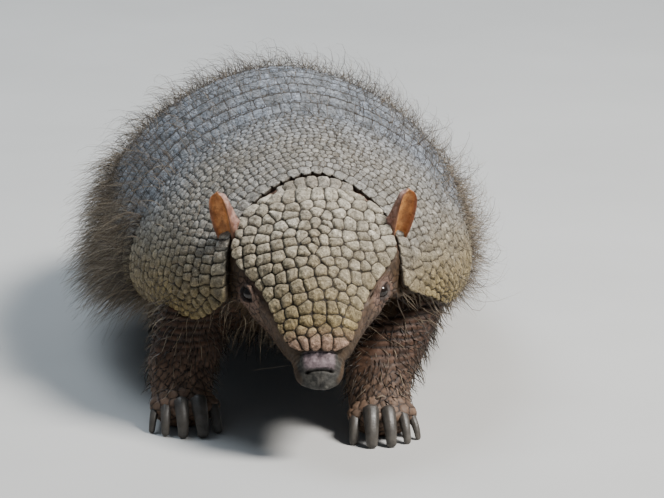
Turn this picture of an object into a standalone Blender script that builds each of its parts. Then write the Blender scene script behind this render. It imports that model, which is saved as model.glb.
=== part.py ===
"""Large hairy armadillo, life size, walking with its head lowered to the ground.

Metres, +Z up. The animal faces -Y, its left side is +X, and it stands on the floor at
Z = 0. Every part of the body is one object: the flesh is lofted through named stations,
the armour is curved sheet with a thickness, and neighbours are trimmed to each other
with a thin gap. At the end all is moved so that the origin is the middle of the footprint.
"""

import math

import bmesh
import bpy
import numpy as np
from mathutils import Matrix, Vector

GAP = 0.0003  # left between two solids that touch
MARGIN = 0.0008  # left under the armour, whose facets differ from the flesh's

# ---- Trunk and carapace: smooth functions of Y -----------------------------------------
SHIELD_THICK = 0.003
BAND_THICK = 0.0024
BAND_SINK = 0.001  # the front edge of a band lies this much under the one before
PEAK = 1.75  # 2 is a round back, less is more of a ridge
BELLY_POWER = 2.1
SIDE_SHARE = 0.84  # share of the way round at which the shell is widest
LIP = 0.006  # the lower rim turns in by this
WIDEST_Z = 0.054

SHELL_FRONT = -0.066  # the scapular shield's front edge, on the back
SHELL_LOBES = 0.026  # its lower corners reach this much further forward
LOBE_LEFT = 0.0055  # the left one comes forward past the turned head by this much more
LOBE_LIFT = 0.07  # and ends higher, by this share of the half arch
LOBE_ROUND = 0.024  # both are rounded back by this at the rim
SCAPULAR_REAR = -0.016
BAND_COUNT = 7
BAND_PITCH = 0.012
SWEEP = 0.006  # the bands' lower ends lie this much further forward
PELVIC_REAR = 0.177
PELVIC_ROUND = 0.022

# ---- Head, in its own frame: -Y to the nose, origin on the nape ------------------------
NAPE = Vector((-0.0012, -0.069, 0.102))
HEAD_PITCH = math.radians(41)
HEAD_YAW = math.radians(-3.9)
HEAD_ROLL = math.radians(-0.5)
HEAD_PLATE_THICK = 0.0024
NUCHAL_THICK = 0.0016
EYE_RADIUS = 0.0038
EYE = Vector((0.0256, -0.0476, -0.0128))
EAR_ROOT = Vector((0.0335, -0.0240, -0.0180))
EAR_LEAN = math.radians(12)  # outwards
EAR_BACK = math.radians(28)
EAR_TURN = math.radians(16)
EAR_LENGTH = 0.0285
EAR_WIDTH = 0.0128
EAR_THICK = 0.0016

CLAW_SIDES = 6

# ---- Fringe of long hair under the flanks, in locks ------------------------------------
FLANK_FRONT, FLANK_REAR = -0.047, 0.153
FLANK_LOCKS = 9
FLANK_REACH = 0.0125  # the longest locks stand out this much past the shell
FLANK_DROP = 0.0110
FLANK_ROOT = 0.0055  # its depth where it grows
FLANK_LAG = 0.006  # the tips lie this much further back
LOCK_NOTCH = 0.66  # between two locks the fringe reaches this share of the way


def through(*stations):
    """A smooth function through (place, value) stations, level beyond the ends."""
    places, values = (np.array(row, float) for row in zip(*stations))
    slopes = np.gradient(values, places)

    def value(place):
        place = min(max(place, places[0]), places[-1])
        i = min(int(np.searchsorted(places, place, side="right")), len(places) - 1)
        step = places[i] - places[i - 1]
        t = (place - places[i - 1]) / step
        start = (1 + 2 * t) * (1 - t) ** 2 * values[i - 1] + t * (1 - t) ** 2 * step * slopes[i - 1]
        end = t * t * (3 - 2 * t) * values[i] + t * t * (t - 1) * step * slopes[i]
        return float(start + end)

    return value


half_width = through(
    (-0.100, 0.032), (-0.086, 0.044), (-0.070, 0.056), (-0.045, 0.067), (0.000, 0.0755),
    (0.040, 0.0780), (0.085, 0.0752), (0.128, 0.0635), (0.155, 0.0480), (0.170, 0.0340),
    (0.178, 0.0220),
)
ridge = through(
    (-0.100, 0.082), (-0.066, 0.103), (-0.035, 0.1130), (0.000, 0.1190), (0.030, 0.1215),
    (0.055, 0.1200), (0.090, 0.1128), (0.130, 0.0985), (0.155, 0.0830), (0.170, 0.0680),
    (0.178, 0.0560),
)
rim = through((-0.090, 0.046), (-0.040, 0.042), (0.050, 0.038), (0.110, 0.040), (0.176, 0.046))
belly = through((-0.074, 0.040), (-0.050, 0.030), (0.020, 0.024), (0.100, 0.025), (0.168, 0.034))


def sunk(of_y, y, depth):
    """The value of a shell function with the surface lowered by depth along its normal."""
    slope = (of_y(y + 0.001) - of_y(y - 0.001)) / 0.002
    return of_y(y) - depth * math.hypot(1.0, min(max(slope, -1.6), 1.6))


def superellipse(turn, power):
    """(across, up) on a unit superellipse, from (0, 1) at turn 0 to (1, 0) at turn 1."""
    angle = turn * math.pi / 2
    return math.sin(angle) ** (2 / power), max(math.cos(angle), 0.0) ** (2 / power)


def shell_point(y, around, depth=0.0):
    """A point of the carapace: around is 0 on the ridge and -1 or 1 at the lower rims."""
    side = math.copysign(1.0, around)
    across = sunk(half_width, y, depth)
    share = abs(around) / SIDE_SHARE
    if share <= 1:
        out, up = superellipse(share, PEAK)
        return Vector((side * across * out, y, WIDEST_Z + (sunk(ridge, y, depth) - WIDEST_Z) * up))
    turn = (abs(around) - SIDE_SHARE) / (1 - SIDE_SHARE) * math.pi / 2
    x = across - LIP * (1 - math.cos(turn))
    return Vector((side * x, y, WIDEST_Z - (WIDEST_Z - rim(y)) * math.sin(turn)))


# ---- Making objects --------------------------------------------------------------------


def clear_scene():
    for thing in list(bpy.data.objects):
        bpy.data.objects.remove(thing, do_unlink=True)


def collection(name):
    made = bpy.data.collections.new(name)
    bpy.context.scene.collection.children.link(made)
    return made


def finish(name, colour, roughness):
    made = bpy.data.materials.new(name)
    made.use_nodes = True
    shader = made.node_tree.nodes["Principled BSDF"]
    shader.inputs["Base Color"].default_value = (*colour, 1.0)
    shader.inputs["Roughness"].default_value = roughness
    return made


def add_object(name, mesh, material):
    """A new body part. Its faces point out, and are triangles, so that every cut made
    beside it follows the same surface."""
    made = bmesh.new()
    made.from_mesh(mesh)
    bmesh.ops.triangulate(made, faces=made.faces)
    bmesh.ops.recalc_face_normals(made, faces=made.faces)
    made.to_mesh(mesh)
    made.free()
    mesh.shade_smooth()
    mesh.set_sharp_from_angle(angle=math.radians(40))
    mesh.materials.clear()
    mesh.materials.append(material)
    thing = bpy.data.objects.new(name, mesh)
    BODY.objects.link(thing)
    return thing


def loft(name, rings):
    """A closed mesh through rings of equally many points, with flat ends."""
    mesh = bpy.data.meshes.new(name)
    made = bmesh.new()
    rows = [[made.verts.new(point) for point in ring] for ring in rings]
    count = len(rows[0])
    for row, after in zip(rows, rows[1:]):
        for i in range(count):
            j = (i + 1) % count
            made.faces.new((row[i], row[j], after[j], after[i]))
    made.faces.new(rows[0][::-1])
    made.faces.new(rows[-1])
    made.to_mesh(mesh)
    made.free()
    return mesh


def sheet(name, columns, rows, point):
    """An open grid of points, point(u, v) with u and v from 0 to 1."""
    mesh = bpy.data.meshes.new(name)
    made = bmesh.new()
    bmesh.ops.create_grid(made, x_segments=columns, y_segments=rows, size=0.5)
    for vert in made.verts:
        vert.co = point(vert.co.x + 0.5, vert.co.y + 0.5)
    made.to_mesh(mesh)
    made.free()
    return mesh


def add_plate(name, columns, rows, point, thick, material):
    """A curved armour plate: point gives its outer face, and Solidify grows it inwards."""
    thing = add_object(name, sheet(name, columns, rows, point), material)
    faces = thing.data.polygons
    middle = faces[len(faces) // 2]
    outward = middle.normal.dot(middle.center - plate_heart(thing)) > 0
    solid = thing.modifiers.new("thickness", "SOLIDIFY")
    solid.thickness = thick
    solid.offset = -1.0 if outward else 1.0
    solid.use_even_offset = True
    return thing


def plate_heart(thing):
    """A point well inside the curve of a plate: under its middle, at the height of its rims."""
    corners = [Vector(corner) for corner in thing.bound_box]
    middle = sum(corners, Vector()) / 8
    return Vector((middle.x, middle.y, min(corner.z for corner in corners) - 0.01))


def oval_rings(path, sides=12, power=2.2):
    """Rings round a path of (centre, half width, half height), square to its run."""
    centres = [Vector(step[0]) for step in path]
    rings = []
    for i, (centre, wide, high) in enumerate(path):
        run = (centres[min(i + 1, len(path) - 1)] - centres[max(i - 1, 0)]).normalized()
        right = (Vector((1.0, 0.0, 0.0)) - run * run.x).normalized()
        up = right.cross(run)
        ring = []
        for k in range(sides):
            angle = math.tau * k / sides
            across = math.copysign(abs(math.cos(angle)) ** (2 / power), math.cos(angle))
            above = math.copysign(abs(math.sin(angle)) ** (2 / power), math.sin(angle))
            ring.append(Vector(centre) + right * (across * wide) + up * (above * high))
        rings.append(ring)
    return rings


def domed(path, reach=0.35):
    """The path with a smaller station beyond each end, so that the loft closes in a dome."""

    def cap(end, inner):
        centre, wide, high = end
        away = (Vector(centre) - Vector(inner[0])).normalized()
        return (Vector(centre) + away * min(wide, high) * reach, wide * 0.6, high * 0.6)

    return [cap(path[0], path[1]), *path, cap(path[-1], path[-2])]


def evaluated_mesh(thing):
    """The object's mesh with its modifiers, in world space."""
    bpy.context.view_layer.update()
    graph = bpy.context.evaluated_depsgraph_get()
    mesh = bpy.data.meshes.new_from_object(thing.evaluated_get(graph))
    mesh.transform(thing.matrix_world)
    return mesh


def cutter_from(thing, swell=GAP):
    """A copy of a neighbour, grown by the gap, kept as a wire cutter."""
    mesh = evaluated_mesh(thing)
    made = bmesh.new()
    made.from_mesh(mesh)
    made.normal_update()
    for vert in made.verts:
        vert.co += vert.normal * swell
    made.to_mesh(mesh)
    made.free()
    cutter = bpy.data.objects.new(f"cut_{thing.name}", mesh)
    CUTTERS.objects.link(cutter)
    cutter.hide_render = True
    cutter.display_type = "WIRE"


def combine(thing, other, operation):
    """Applies one Boolean to thing's mesh, and keeps its largest body."""
    step = thing.modifiers.new(operation.lower(), "BOOLEAN")
    step.operation = operation
    step.object = other
    made = bmesh.new()
    made.from_mesh(evaluated_mesh(thing))
    thing.modifiers.clear()
    bmesh.ops.remove_doubles(made, verts=made.verts, dist=0.00001)
    bmesh.ops.dissolve_degenerate(made, edges=made.edges, dist=0.00001)
    keep_largest(made)
    made.to_mesh(thing.data)
    made.free()


def keep_largest(made):
    """Deletes all but the connected body that has the most faces."""
    left = set(made.verts)
    bodies = []
    while left:
        body, edge = set(), [left.pop()]
        while edge:
            vert = edge.pop()
            body.add(vert)
            near = {e.other_vert(vert) for e in vert.link_edges} & left
            left -= near
            edge.extend(near)
        bodies.append(body)
    biggest = max(bodies, key=len)
    bmesh.ops.delete(made, geom=[v for v in made.verts if v not in biggest], context="VERTS")


def trim(thing, *neighbours):
    """Cuts thing back from its neighbours as they were before any trimming, leaving the gap."""
    for part in (thing, *neighbours):
        if f"cut_{part.name}" not in CUTTERS.objects:
            cutter_from(part)
    for neighbour in neighbours:
        combine(thing, CUTTERS.objects[f"cut_{neighbour.name}"], "DIFFERENCE")


def join(thing, mesh):
    """Unites another closed mesh with thing."""
    other = bpy.data.objects.new("united", mesh)
    CUTTERS.objects.link(other)
    combine(thing, other, "UNION")
    bpy.data.objects.remove(other)


def cut_flat(thing):
    """Cuts off what lies under the floor, so that the feet stand on small flats."""
    mesh = bpy.data.meshes.new("under_floor")
    made = bmesh.new()
    bmesh.ops.create_cube(made, size=1.0)
    bmesh.ops.translate(made, verts=made.verts, vec=(0.0, 0.0, -0.5))
    made.to_mesh(mesh)
    made.free()
    floor = bpy.data.objects.new("under_floor", mesh)
    CUTTERS.objects.link(floor)
    combine(thing, floor, "DIFFERENCE")
    bpy.data.objects.remove(floor)


# ---- Trunk -----------------------------------------------------------------------------


def trunk_ring(y, shrink=1.0, sides=16):
    """One section of the trunk: the shell's own arch above, a full belly below."""
    depth = SHIELD_THICK + MARGIN + BAND_SINK
    across = sunk(half_width, y, depth)
    ring = []
    for k in range(sides):
        turn = 4 * k / sides
        quarter = int(turn)
        side = 1 if quarter in (0, 3) else -1
        share = turn - quarter if quarter in (0, 2) else 1 - (turn - quarter)
        if quarter in (0, 1):
            out, up = superellipse(1 - share, PEAK)
            height = sunk(ridge, y, depth) - WIDEST_Z
        else:
            out, up = superellipse(1 - share, BELLY_POWER)
            height = belly(y) - WIDEST_Z
        middle = Vector((0.0, y, WIDEST_Z))
        ring.append(middle + shrink * Vector((side * across * out, 0.0, height * up)))
    return ring


def make_trunk():
    stations = [-0.062, -0.045, -0.02, 0.015, 0.05, 0.085, 0.115, 0.14, 0.16]
    rings = [trunk_ring(-0.072, 0.62)]
    rings += [trunk_ring(y) for y in stations]
    rings += [trunk_ring(0.169, 0.6)]
    return add_object("trunk", loft("trunk", rings), SKIN)


# ---- Carapace --------------------------------------------------------------------------


def band_edge(y, around):
    """Y of a band's edge, swept forward towards the rims."""
    return y - SWEEP * around * around


def make_scapular_shield():
    def point(u, v):
        around = 2 * u - 1
        side = math.sin(min(abs(around) / SIDE_SHARE, 1) * math.pi / 2)
        corner = max(abs(around) - 0.75, 0) / 0.25
        reach = SHELL_LOBES + (LOBE_LEFT if around > 0 else 0.0)
        front = SHELL_FRONT - reach * side ** 2 + LOBE_ROUND * corner ** 2
        rear = band_edge(SCAPULAR_REAR, around)
        if around > 0:
            around *= 1 - LOBE_LIFT * (1 - v)
        return shell_point(front + (rear - front) * v, around)

    return add_plate("scapular_shield", 20, 5, point, SHIELD_THICK, ARMOUR)


def make_bands():
    bands = []
    for i in range(BAND_COUNT):
        front = SCAPULAR_REAR + i * BAND_PITCH + GAP
        rear = SCAPULAR_REAR + (i + 1) * BAND_PITCH

        def point(u, v, front=front, rear=rear):
            around = 2 * u - 1
            y = band_edge(front + (rear - front) * v, around)
            return shell_point(y, around, BAND_SINK * (1 - v))

        bands.append(add_plate(f"band_{i + 1}", 20, 1, point, BAND_THICK, ARMOUR))
    return bands


def make_pelvic_shield():
    start = SCAPULAR_REAR + BAND_COUNT * BAND_PITCH + GAP

    def point(u, v):
        around = 2 * u - 1
        front = band_edge(start, around)
        rear = PELVIC_REAR - PELVIC_ROUND * around ** 4
        return shell_point(front + (rear - front) * v, around, BAND_SINK * max(1 - 6 * v, 0))

    return add_plate("pelvic_shield", 20, 5, point, SHIELD_THICK, ARMOUR)


# ---- Head ------------------------------------------------------------------------------

HEAD_FRAME = (
    Matrix.Translation(NAPE)
    @ Matrix.Rotation(HEAD_YAW, 4, "Z")
    @ Matrix.Rotation(HEAD_PITCH, 4, "X")
    @ Matrix.Rotation(HEAD_ROLL, 4, "Y")
)

# Along the head from the nape, 0, to the tip of the nose.
PLATE_FRONT, PLATE_BACK = -0.0817, -0.0050
plate_half = through(
    (-0.0817, 0.0055), (-0.0790, 0.0110), (-0.0724, 0.0152), (-0.0631, 0.0182),
    (-0.0538, 0.0215), (-0.0445, 0.0268), (-0.0371, 0.0318), (-0.0315, 0.0340),
    (-0.0231, 0.0325), (-0.0115, 0.0268), (-0.0050, 0.0170),
)
crown = through(
    (-0.0915, -0.0100), (-0.0870, -0.0068), (-0.0820, -0.0035), (-0.066, 0.0010), (-0.045, 0.0035),
    (-0.022, 0.0030), (0.002, 0.0),
)
plate_fall = through((-0.082, 0.0020), (-0.070, 0.0055), (-0.030, 0.0105), (-0.005, 0.0050))
head_half = through(
    (-0.0915, 0.0080), (-0.0890, 0.0097), (-0.0850, 0.0108), (-0.077, 0.0140), (-0.064, 0.0215),
    (-0.050, 0.0278), (-0.034, 0.0308), (-0.024, 0.0315), (-0.012, 0.0300), (0.000, 0.0270),
)
jaw = through(
    (-0.0915, -0.0168), (-0.0880, -0.0190), (-0.077, -0.0224), (-0.060, -0.0280), (-0.040, -0.0350),
    (-0.020, -0.0390), (0.000, -0.0380),
)


def head_plate_point(u, v):
    """The outer face of the head shield, in the head's frame."""
    y = PLATE_FRONT + (PLATE_BACK - PLATE_FRONT) * (0.5 - 0.5 * math.cos(math.pi * v))
    across = 2 * u - 1
    x = plate_half(y) * across
    return Vector((x, y, crown(y) - plate_fall(y) * across * across))


def head_ring(y, shrink=1.0, sides=14):
    top = crown(y) - HEAD_PLATE_THICK - GAP
    middle = 0.42 * top + 0.58 * jaw(y)
    ring = []
    edge = plate_half(y)
    for k in range(sides):
        angle = math.tau * k / sides
        out = math.copysign(abs(math.cos(angle)) ** 0.9, math.cos(angle))
        up = math.copysign(abs(math.sin(angle)) ** 0.9, math.sin(angle))
        x = shrink * head_half(y) * out
        z = middle + shrink * (top - middle if up > 0 else middle - jaw(y)) * up
        if PLATE_FRONT < y < PLATE_BACK and abs(x) < edge + 0.001:
            under = crown(y) - plate_fall(y) * (x / edge) ** 2 - HEAD_PLATE_THICK
            z = min(z, under - MARGIN)
        ring.append(Vector((x, y, z)))
    return ring


def make_head(plate):
    stations = [-0.0915, -0.0885, -0.084, -0.078, -0.070, -0.061, -0.050, -0.038, -0.026, -0.014]
    rings = [head_ring(-0.0928, 0.55)] + [head_ring(y) for y in stations] + [head_ring(-0.007, 0.7)]
    mesh = loft("head", rings)
    mesh.transform(HEAD_FRAME)
    head = add_object("head", mesh, SKIN)
    trim(head, plate)
    return head


def make_head_shield():
    mesh = sheet("head_shield", 10, 9, head_plate_point)
    mesh.transform(HEAD_FRAME)
    thing = add_object("head_shield", mesh, ARMOUR)
    solid = thing.modifiers.new("thickness", "SOLIDIFY")
    solid.thickness = HEAD_PLATE_THICK
    outward = HEAD_FRAME.to_3x3() @ Vector((0.0, 0.0, 1.0))
    facing = sum((face.normal for face in mesh.polygons), Vector()).dot(outward)
    solid.offset = -1.0 if facing > 0 else 1.0
    solid.use_even_offset = True
    return thing


def make_eye(side, name):
    mesh = bpy.data.meshes.new(name)
    made = bmesh.new()
    bmesh.ops.create_uvsphere(made, u_segments=8, v_segments=6, radius=EYE_RADIUS)
    made.to_mesh(mesh)
    made.free()
    mesh.transform(HEAD_FRAME @ Matrix.Translation(Vector((side * EYE.x, EYE.y, EYE.z))))
    return add_object(name, mesh, EYE_FINISH)


def make_ear(side, name):
    """A cupped, pointed leaf that opens forwards and outwards."""
    half = through((0.0, 0.30), (0.25, 0.66), (0.5, 0.94), (0.7, 0.98), (0.88, 0.72), (1.0, 0.30))

    def point(u, v):
        across = 2 * u - 1
        wide = EAR_WIDTH / 2 * half(v)
        cup = 0.42 * wide * across * across
        return Vector((wide * across, -cup, EAR_LENGTH * v))

    mesh = sheet(name, 4, 6, point)
    lean = Matrix.Rotation(side * EAR_LEAN, 4, "Y")
    turn = Matrix.Rotation(side * EAR_TURN, 4, "Z")
    back = Matrix.Rotation(-EAR_BACK, 4, "X")
    root = Matrix.Translation(Vector((side * EAR_ROOT.x, EAR_ROOT.y, EAR_ROOT.z)))
    mesh.transform(HEAD_FRAME @ root @ lean @ back @ turn)
    ear = add_object(name, mesh, EAR_FINISH)
    solid = ear.modifiers.new("thickness", "SOLIDIFY")
    solid.thickness = EAR_THICK
    solid.offset = 0.0
    return ear


def make_neck():
    path = [
        ((0.0, -0.046, 0.071), 0.042, 0.0345),
        ((0.0, -0.062, 0.069), 0.036, 0.0305),
        ((0.0, -0.075, 0.066), 0.030, 0.0265),
        ((0.0, -0.083, 0.064), 0.023, 0.0230),
    ]
    return add_object("neck", loft("neck", oval_rings(domed(path, 0.12), 10)), SKIN)


def make_nuchal_band():
    """The loose row of scutes on the nape, between the two shields."""

    def point(u, v):
        across = 2 * u - 1
        y = SHELL_FRONT - 0.0056 + 0.0050 * v - 0.0025 * across * across
        z = 0.0978 + 0.0042 * v - 0.0035 * across * across
        return Vector((0.0150 * across, y, z))

    return add_plate("nuchal_band", 6, 1, point, NUCHAL_THICK, ARMOUR)


# ---- Tail ------------------------------------------------------------------------------


def make_tail():
    count = 8
    path = []
    for i in range(count):
        t = i / (count - 1)
        centre = (0.012 * t * t, 0.158 + 0.128 * t, 0.044 - 0.052 * t + 0.028 * t * t)
        radius = 0.0125 * (1 - t) + 0.0036 * t
        path.append((centre, radius, radius * 0.94))
    return add_object("tail", loft("tail", oval_rings(domed(path), 8, 2.0)), SKIN)


# ---- Legs ------------------------------------------------------------------------------

TOE_DOME = 0.35

# Each leg is a limb path and a foot path of (centre, half width, half height), and each
# digit of the foot is (place outwards of the middle, angle outwards, reach of the toe,
# claw length, claw width).
FORE_DIGITS = (
    (-0.0112, -12, 0.0070, 0.0130, 0.0044), (-0.0052, -5, 0.0100, 0.0170, 0.0060),
    (0.0014, 1, 0.0100, 0.0165, 0.0054), (0.0072, 8, 0.0075, 0.0140, 0.0040),
    (0.0116, 18, 0.0040, 0.0110, 0.0032),
)
HIND_DIGITS = (
    (-0.0100, -16, 0.0100, 0.0085, 0.0034), (-0.0050, -8, 0.0140, 0.0105, 0.0040),
    (0.0004, 0, 0.0150, 0.0115, 0.0042), (0.0056, 9, 0.0135, 0.0105, 0.0038),
    (0.0102, 19, 0.0095, 0.0085, 0.0032),
)


def leg_plan(side, fore, at, spread):
    """Where a leg runs. at is the place of its palm or ball on the floor."""
    x, y = at
    if fore:
        elbow = Vector((side * spread, -0.050, 0.053))
        limb = [
            ((side * 0.043, -0.034, 0.068), 0.019, 0.020),
            (elbow, 0.0175, 0.0180),
            ((0.5 * (elbow.x + x), 0.35 * elbow.y + 0.65 * y + 0.009, 0.036), 0.0150, 0.0150),
            ((x, y + 0.010, 0.021), 0.0135, 0.0120),
            ((x, y + 0.003, 0.012), 0.0125, 0.0100),
        ]
        foot = [
            ((x, y + 0.014, 0.0085), 0.0100, 0.0080),
            ((x, y + 0.002, 0.0090), 0.0124, 0.0092),
            ((x, y - 0.006, 0.0085), 0.0122, 0.0085),
        ]
        digits = FORE_DIGITS
    else:
        limb = [
            ((side * 0.040, 0.092, 0.060), 0.030, 0.026),
            ((side * 0.050, 0.080, 0.046), 0.024, 0.023),
            ((0.5 * side * 0.055 + 0.5 * x, y + 0.038, 0.030), 0.0165, 0.0185),
            ((x, y + 0.036, 0.017), 0.0120, 0.0140),
        ]
        foot = [
            ((x, y + 0.044, 0.0080), 0.0070, 0.0072),
            ((x, y + 0.026, 0.0088), 0.0100, 0.0090),
            ((x, y + 0.006, 0.0080), 0.0130, 0.0080),
            ((x, y - 0.006, 0.0070), 0.0125, 0.0068),
        ]
        digits = HIND_DIGITS
    return limb, foot, digits, side


LEGS = {
    "fore_left": leg_plan(1, True, (0.0242, -0.094), 0.042),
    "fore_right": leg_plan(-1, True, (-0.055, -0.072), 0.044),
    "hind_left": leg_plan(1, False, (0.048, 0.052), 0.050),
    "hind_right": leg_plan(-1, False, (-0.044, 0.076), 0.050),
}


def digit_runs(plan):
    """For each digit, its root on the foot's front, the way it points and its sizes."""
    _, foot, digits, side = plan
    ball = Vector(foot[-1][0])
    for outwards, angle, reach, length, width in digits:
        turn = math.radians(side * angle)
        ahead = Vector((math.sin(turn), -math.cos(turn), 0.0))
        root = ball + Vector((side * outwards * 0.92, 0.004, 0.001))
        yield root, ahead, reach, length, width


def toe_thickness(claw_width):
    """Half the width of the toe that carries a claw."""
    return claw_width * 0.5 + 0.0014


def make_leg(name, plan):
    limb, foot, _, _ = plan
    leg = add_object(f"leg_{name}", loft(name, oval_rings(domed(limb), 10)), SKIN)
    join(leg, loft("foot", oval_rings(domed(foot), 12)))
    for root, ahead, reach, _, width in digit_runs(plan):
        thick = toe_thickness(width)
        toe = [(root, thick * 1.05, thick * 1.05), (root + ahead * reach, thick * 0.9, thick * 0.86)]
        join(leg, loft("toe", oval_rings(domed(toe, TOE_DOME), 6, 2.0)))
    cut_flat(leg)
    return leg


def make_claws(name, plan, steep):
    """Curved claws that run down from the toes to the floor."""
    claws = []
    for i, (root, ahead, reach, length, width) in enumerate(digit_runs(plan)):
        nail_bed = reach + toe_thickness(width) * 0.86 * TOE_DOME + GAP
        start = root + ahead * nail_bed + Vector((0.0, 0.0, 0.0004))
        length -= nail_bed - reach * 0.82
        path = []
        for step in range(4):
            t = step / 3
            angle = math.radians(steep * (0.48 + 0.72 * t))
            centre = start if not path else (
                Vector(path[-1][0])
                + ahead * (length / 3 * math.cos(angle))
                - Vector((0.0, 0.0, length / 3 * math.sin(angle)))
            )
            path.append((centre, width / 2 * (1 - 0.62 * t), width * 0.58 * (1 - 0.72 * t)))
        mesh = loft("claw", oval_rings(path, CLAW_SIDES, 2.0))
        claw = add_object(f"claw_{name}_{i + 1}", mesh, CLAW_FINISH)
        drop = min(vert.co.z for vert in mesh.vertices) + 0.0004
        mesh.transform(Matrix.Translation((0.0, 0.0, -drop)))
        cut_flat(claw)
        claws.append(claw)
    return claws


# ---- Putting it together ---------------------------------------------------------------


def centre_footprint():
    """Moves everything so that the bounding box's bottom centre is at the origin."""
    low, high = Vector((9, 9, 9)), Vector((-9, -9, -9))
    for thing in BODY.objects:
        for vert in evaluated_mesh(thing).vertices:
            low = Vector(map(min, low, vert.co))
            high = Vector(map(max, high, vert.co))
    shift = Matrix.Translation((-(low.x + high.x) / 2, -(low.y + high.y) / 2, -low.z))
    for thing in BODY.objects:
        thing.data.transform(shift)


def flank(y, z):
    """Half the width of the trunk at a height under its widest."""
    down = (WIDEST_Z - z) / (WIDEST_Z - belly(y))
    across = sunk(half_width, y, SHIELD_THICK + MARGIN + BAND_SINK)
    return across * math.sin(math.acos(min(down, 1.0) ** (BELLY_POWER / 2))) ** (2 / BELLY_POWER)


def make_flank_hair(side, name):
    """A fringe that grows under the shell's rim and thins to a row of pointed locks."""
    rings = []
    for i in range(2 * FLANK_LOCKS + 1):
        along = i / (2 * FLANK_LOCKS)
        y = FLANK_FRONT + (FLANK_REAR - FLANK_FRONT) * along
        top = rim(y) - GAP - MARGIN
        root = top - FLANK_ROOT
        edge = half_width(y) - LIP
        share = (1.0 if i % 2 else LOCK_NOTCH) * math.sin(math.pi * (0.12 + 0.76 * along)) ** 0.4
        tip = Vector((edge + (LIP + FLANK_REACH) * share, y + FLANK_LAG * share, top - FLANK_DROP * share))
        section = [
            Vector((flank(y, top) + MARGIN, y, top)), Vector((edge + 0.001, y, top)), tip,
            tip - Vector((0.0, 0.0, 0.0012)), Vector((flank(y, root) + MARGIN, y, root)),
        ]
        rings.append([Vector((side * point.x, point.y, point.z)) for point in section])
    return add_object(name, loft(name, rings), HAIR)


def make_armadillo():
    scapular = make_scapular_shield()
    bands = make_bands()
    pelvic = make_pelvic_shield()
    trunk = make_trunk()
    head_shield = make_head_shield()
    head = make_head(head_shield)
    neck = make_neck()
    trim(scapular, head_shield, head)
    trim(trunk, head, neck, pelvic)

    eyes = [make_eye(side, f"eye_{name}") for side, name in ((1, "left"), (-1, "right"))]
    ears = [make_ear(side, f"ear_{name}") for side, name in ((1, "left"), (-1, "right"))]
    for eye in eyes:
        trim(eye, head_shield)
    trim(head, *eyes)
    for ear in ears:
        trim(ear, head, head_shield, scapular)

    nuchal = make_nuchal_band()
    trim(nuchal, head_shield, head, scapular)
    trim(neck, head, head_shield, scapular, nuchal)

    tail = make_tail()
    trim(tail, trunk, pelvic)

    legs = {}
    for name, plan in LEGS.items():
        leg = legs[name] = make_leg(name, plan)
        trim(leg, trunk, neck, head)
        if name.startswith("fore"):
            trim(leg, scapular, bands[0])
        else:
            trim(leg, pelvic, *bands[-3:])
        steep = 62 if name.startswith("fore") else 34
        for claw in make_claws(name, plan, steep):
            trim(claw, leg)

    for side, name in ((1, "left"), (-1, "right")):
        fringe = make_flank_hair(side, f"flank_hair_{name}")
        trim(fringe, legs[f"fore_{name}"], legs[f"hind_{name}"])
    centre_footprint()


clear_scene()
BODY = collection("hairy_armadillo")
CUTTERS = collection("cutters")
ARMOUR = finish("armour", (0.42, 0.38, 0.29), 0.7)
SKIN = finish("skin", (0.16, 0.085, 0.05), 0.65)
EAR_FINISH = finish("ear_skin", (0.55, 0.22, 0.07), 0.6)
EYE_FINISH = finish("eye", (0.01, 0.008, 0.008), 0.08)
HAIR = finish("hair", (0.27, 0.22, 0.17), 0.6)
CLAW_FINISH = finish("claw", (0.17, 0.165, 0.15), 0.45)
make_armadillo()
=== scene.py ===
"""Large hairy armadillo, one forefoot ahead and its head lowered: the visual model around the
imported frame.

Metres, +Z up, the animal faces -Y. The shapes below are worked out in the body's design
coordinates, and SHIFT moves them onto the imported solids.
"""

import math
from contextlib import contextmanager

import bmesh
import bpy
import numpy as np
from mathutils import Matrix, Vector
from mathutils.bvhtree import BVHTree
from mathutils.kdtree import KDTree


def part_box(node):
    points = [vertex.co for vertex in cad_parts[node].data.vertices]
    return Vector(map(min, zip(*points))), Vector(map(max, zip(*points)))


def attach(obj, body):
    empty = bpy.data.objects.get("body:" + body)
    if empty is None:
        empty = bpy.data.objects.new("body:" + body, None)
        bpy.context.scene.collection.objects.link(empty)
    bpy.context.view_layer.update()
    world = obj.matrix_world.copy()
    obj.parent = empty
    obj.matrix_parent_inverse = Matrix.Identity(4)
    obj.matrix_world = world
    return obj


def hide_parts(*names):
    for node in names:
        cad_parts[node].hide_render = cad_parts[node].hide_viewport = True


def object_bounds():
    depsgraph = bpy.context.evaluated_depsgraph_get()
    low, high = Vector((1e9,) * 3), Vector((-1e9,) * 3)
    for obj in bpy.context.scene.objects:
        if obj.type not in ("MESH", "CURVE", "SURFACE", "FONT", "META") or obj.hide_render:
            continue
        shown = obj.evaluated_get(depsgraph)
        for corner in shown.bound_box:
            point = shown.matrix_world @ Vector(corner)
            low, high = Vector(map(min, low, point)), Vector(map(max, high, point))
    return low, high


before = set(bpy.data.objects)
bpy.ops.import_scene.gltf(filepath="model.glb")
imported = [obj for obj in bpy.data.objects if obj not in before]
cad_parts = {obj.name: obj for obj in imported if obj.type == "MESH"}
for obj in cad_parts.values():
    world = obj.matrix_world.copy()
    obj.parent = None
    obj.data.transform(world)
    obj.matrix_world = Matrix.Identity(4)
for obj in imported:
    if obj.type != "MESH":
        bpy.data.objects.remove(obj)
CAD_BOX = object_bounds()

FINE = 1  # what the plates' grids are divided by
VOXEL = 0.00145

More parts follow.
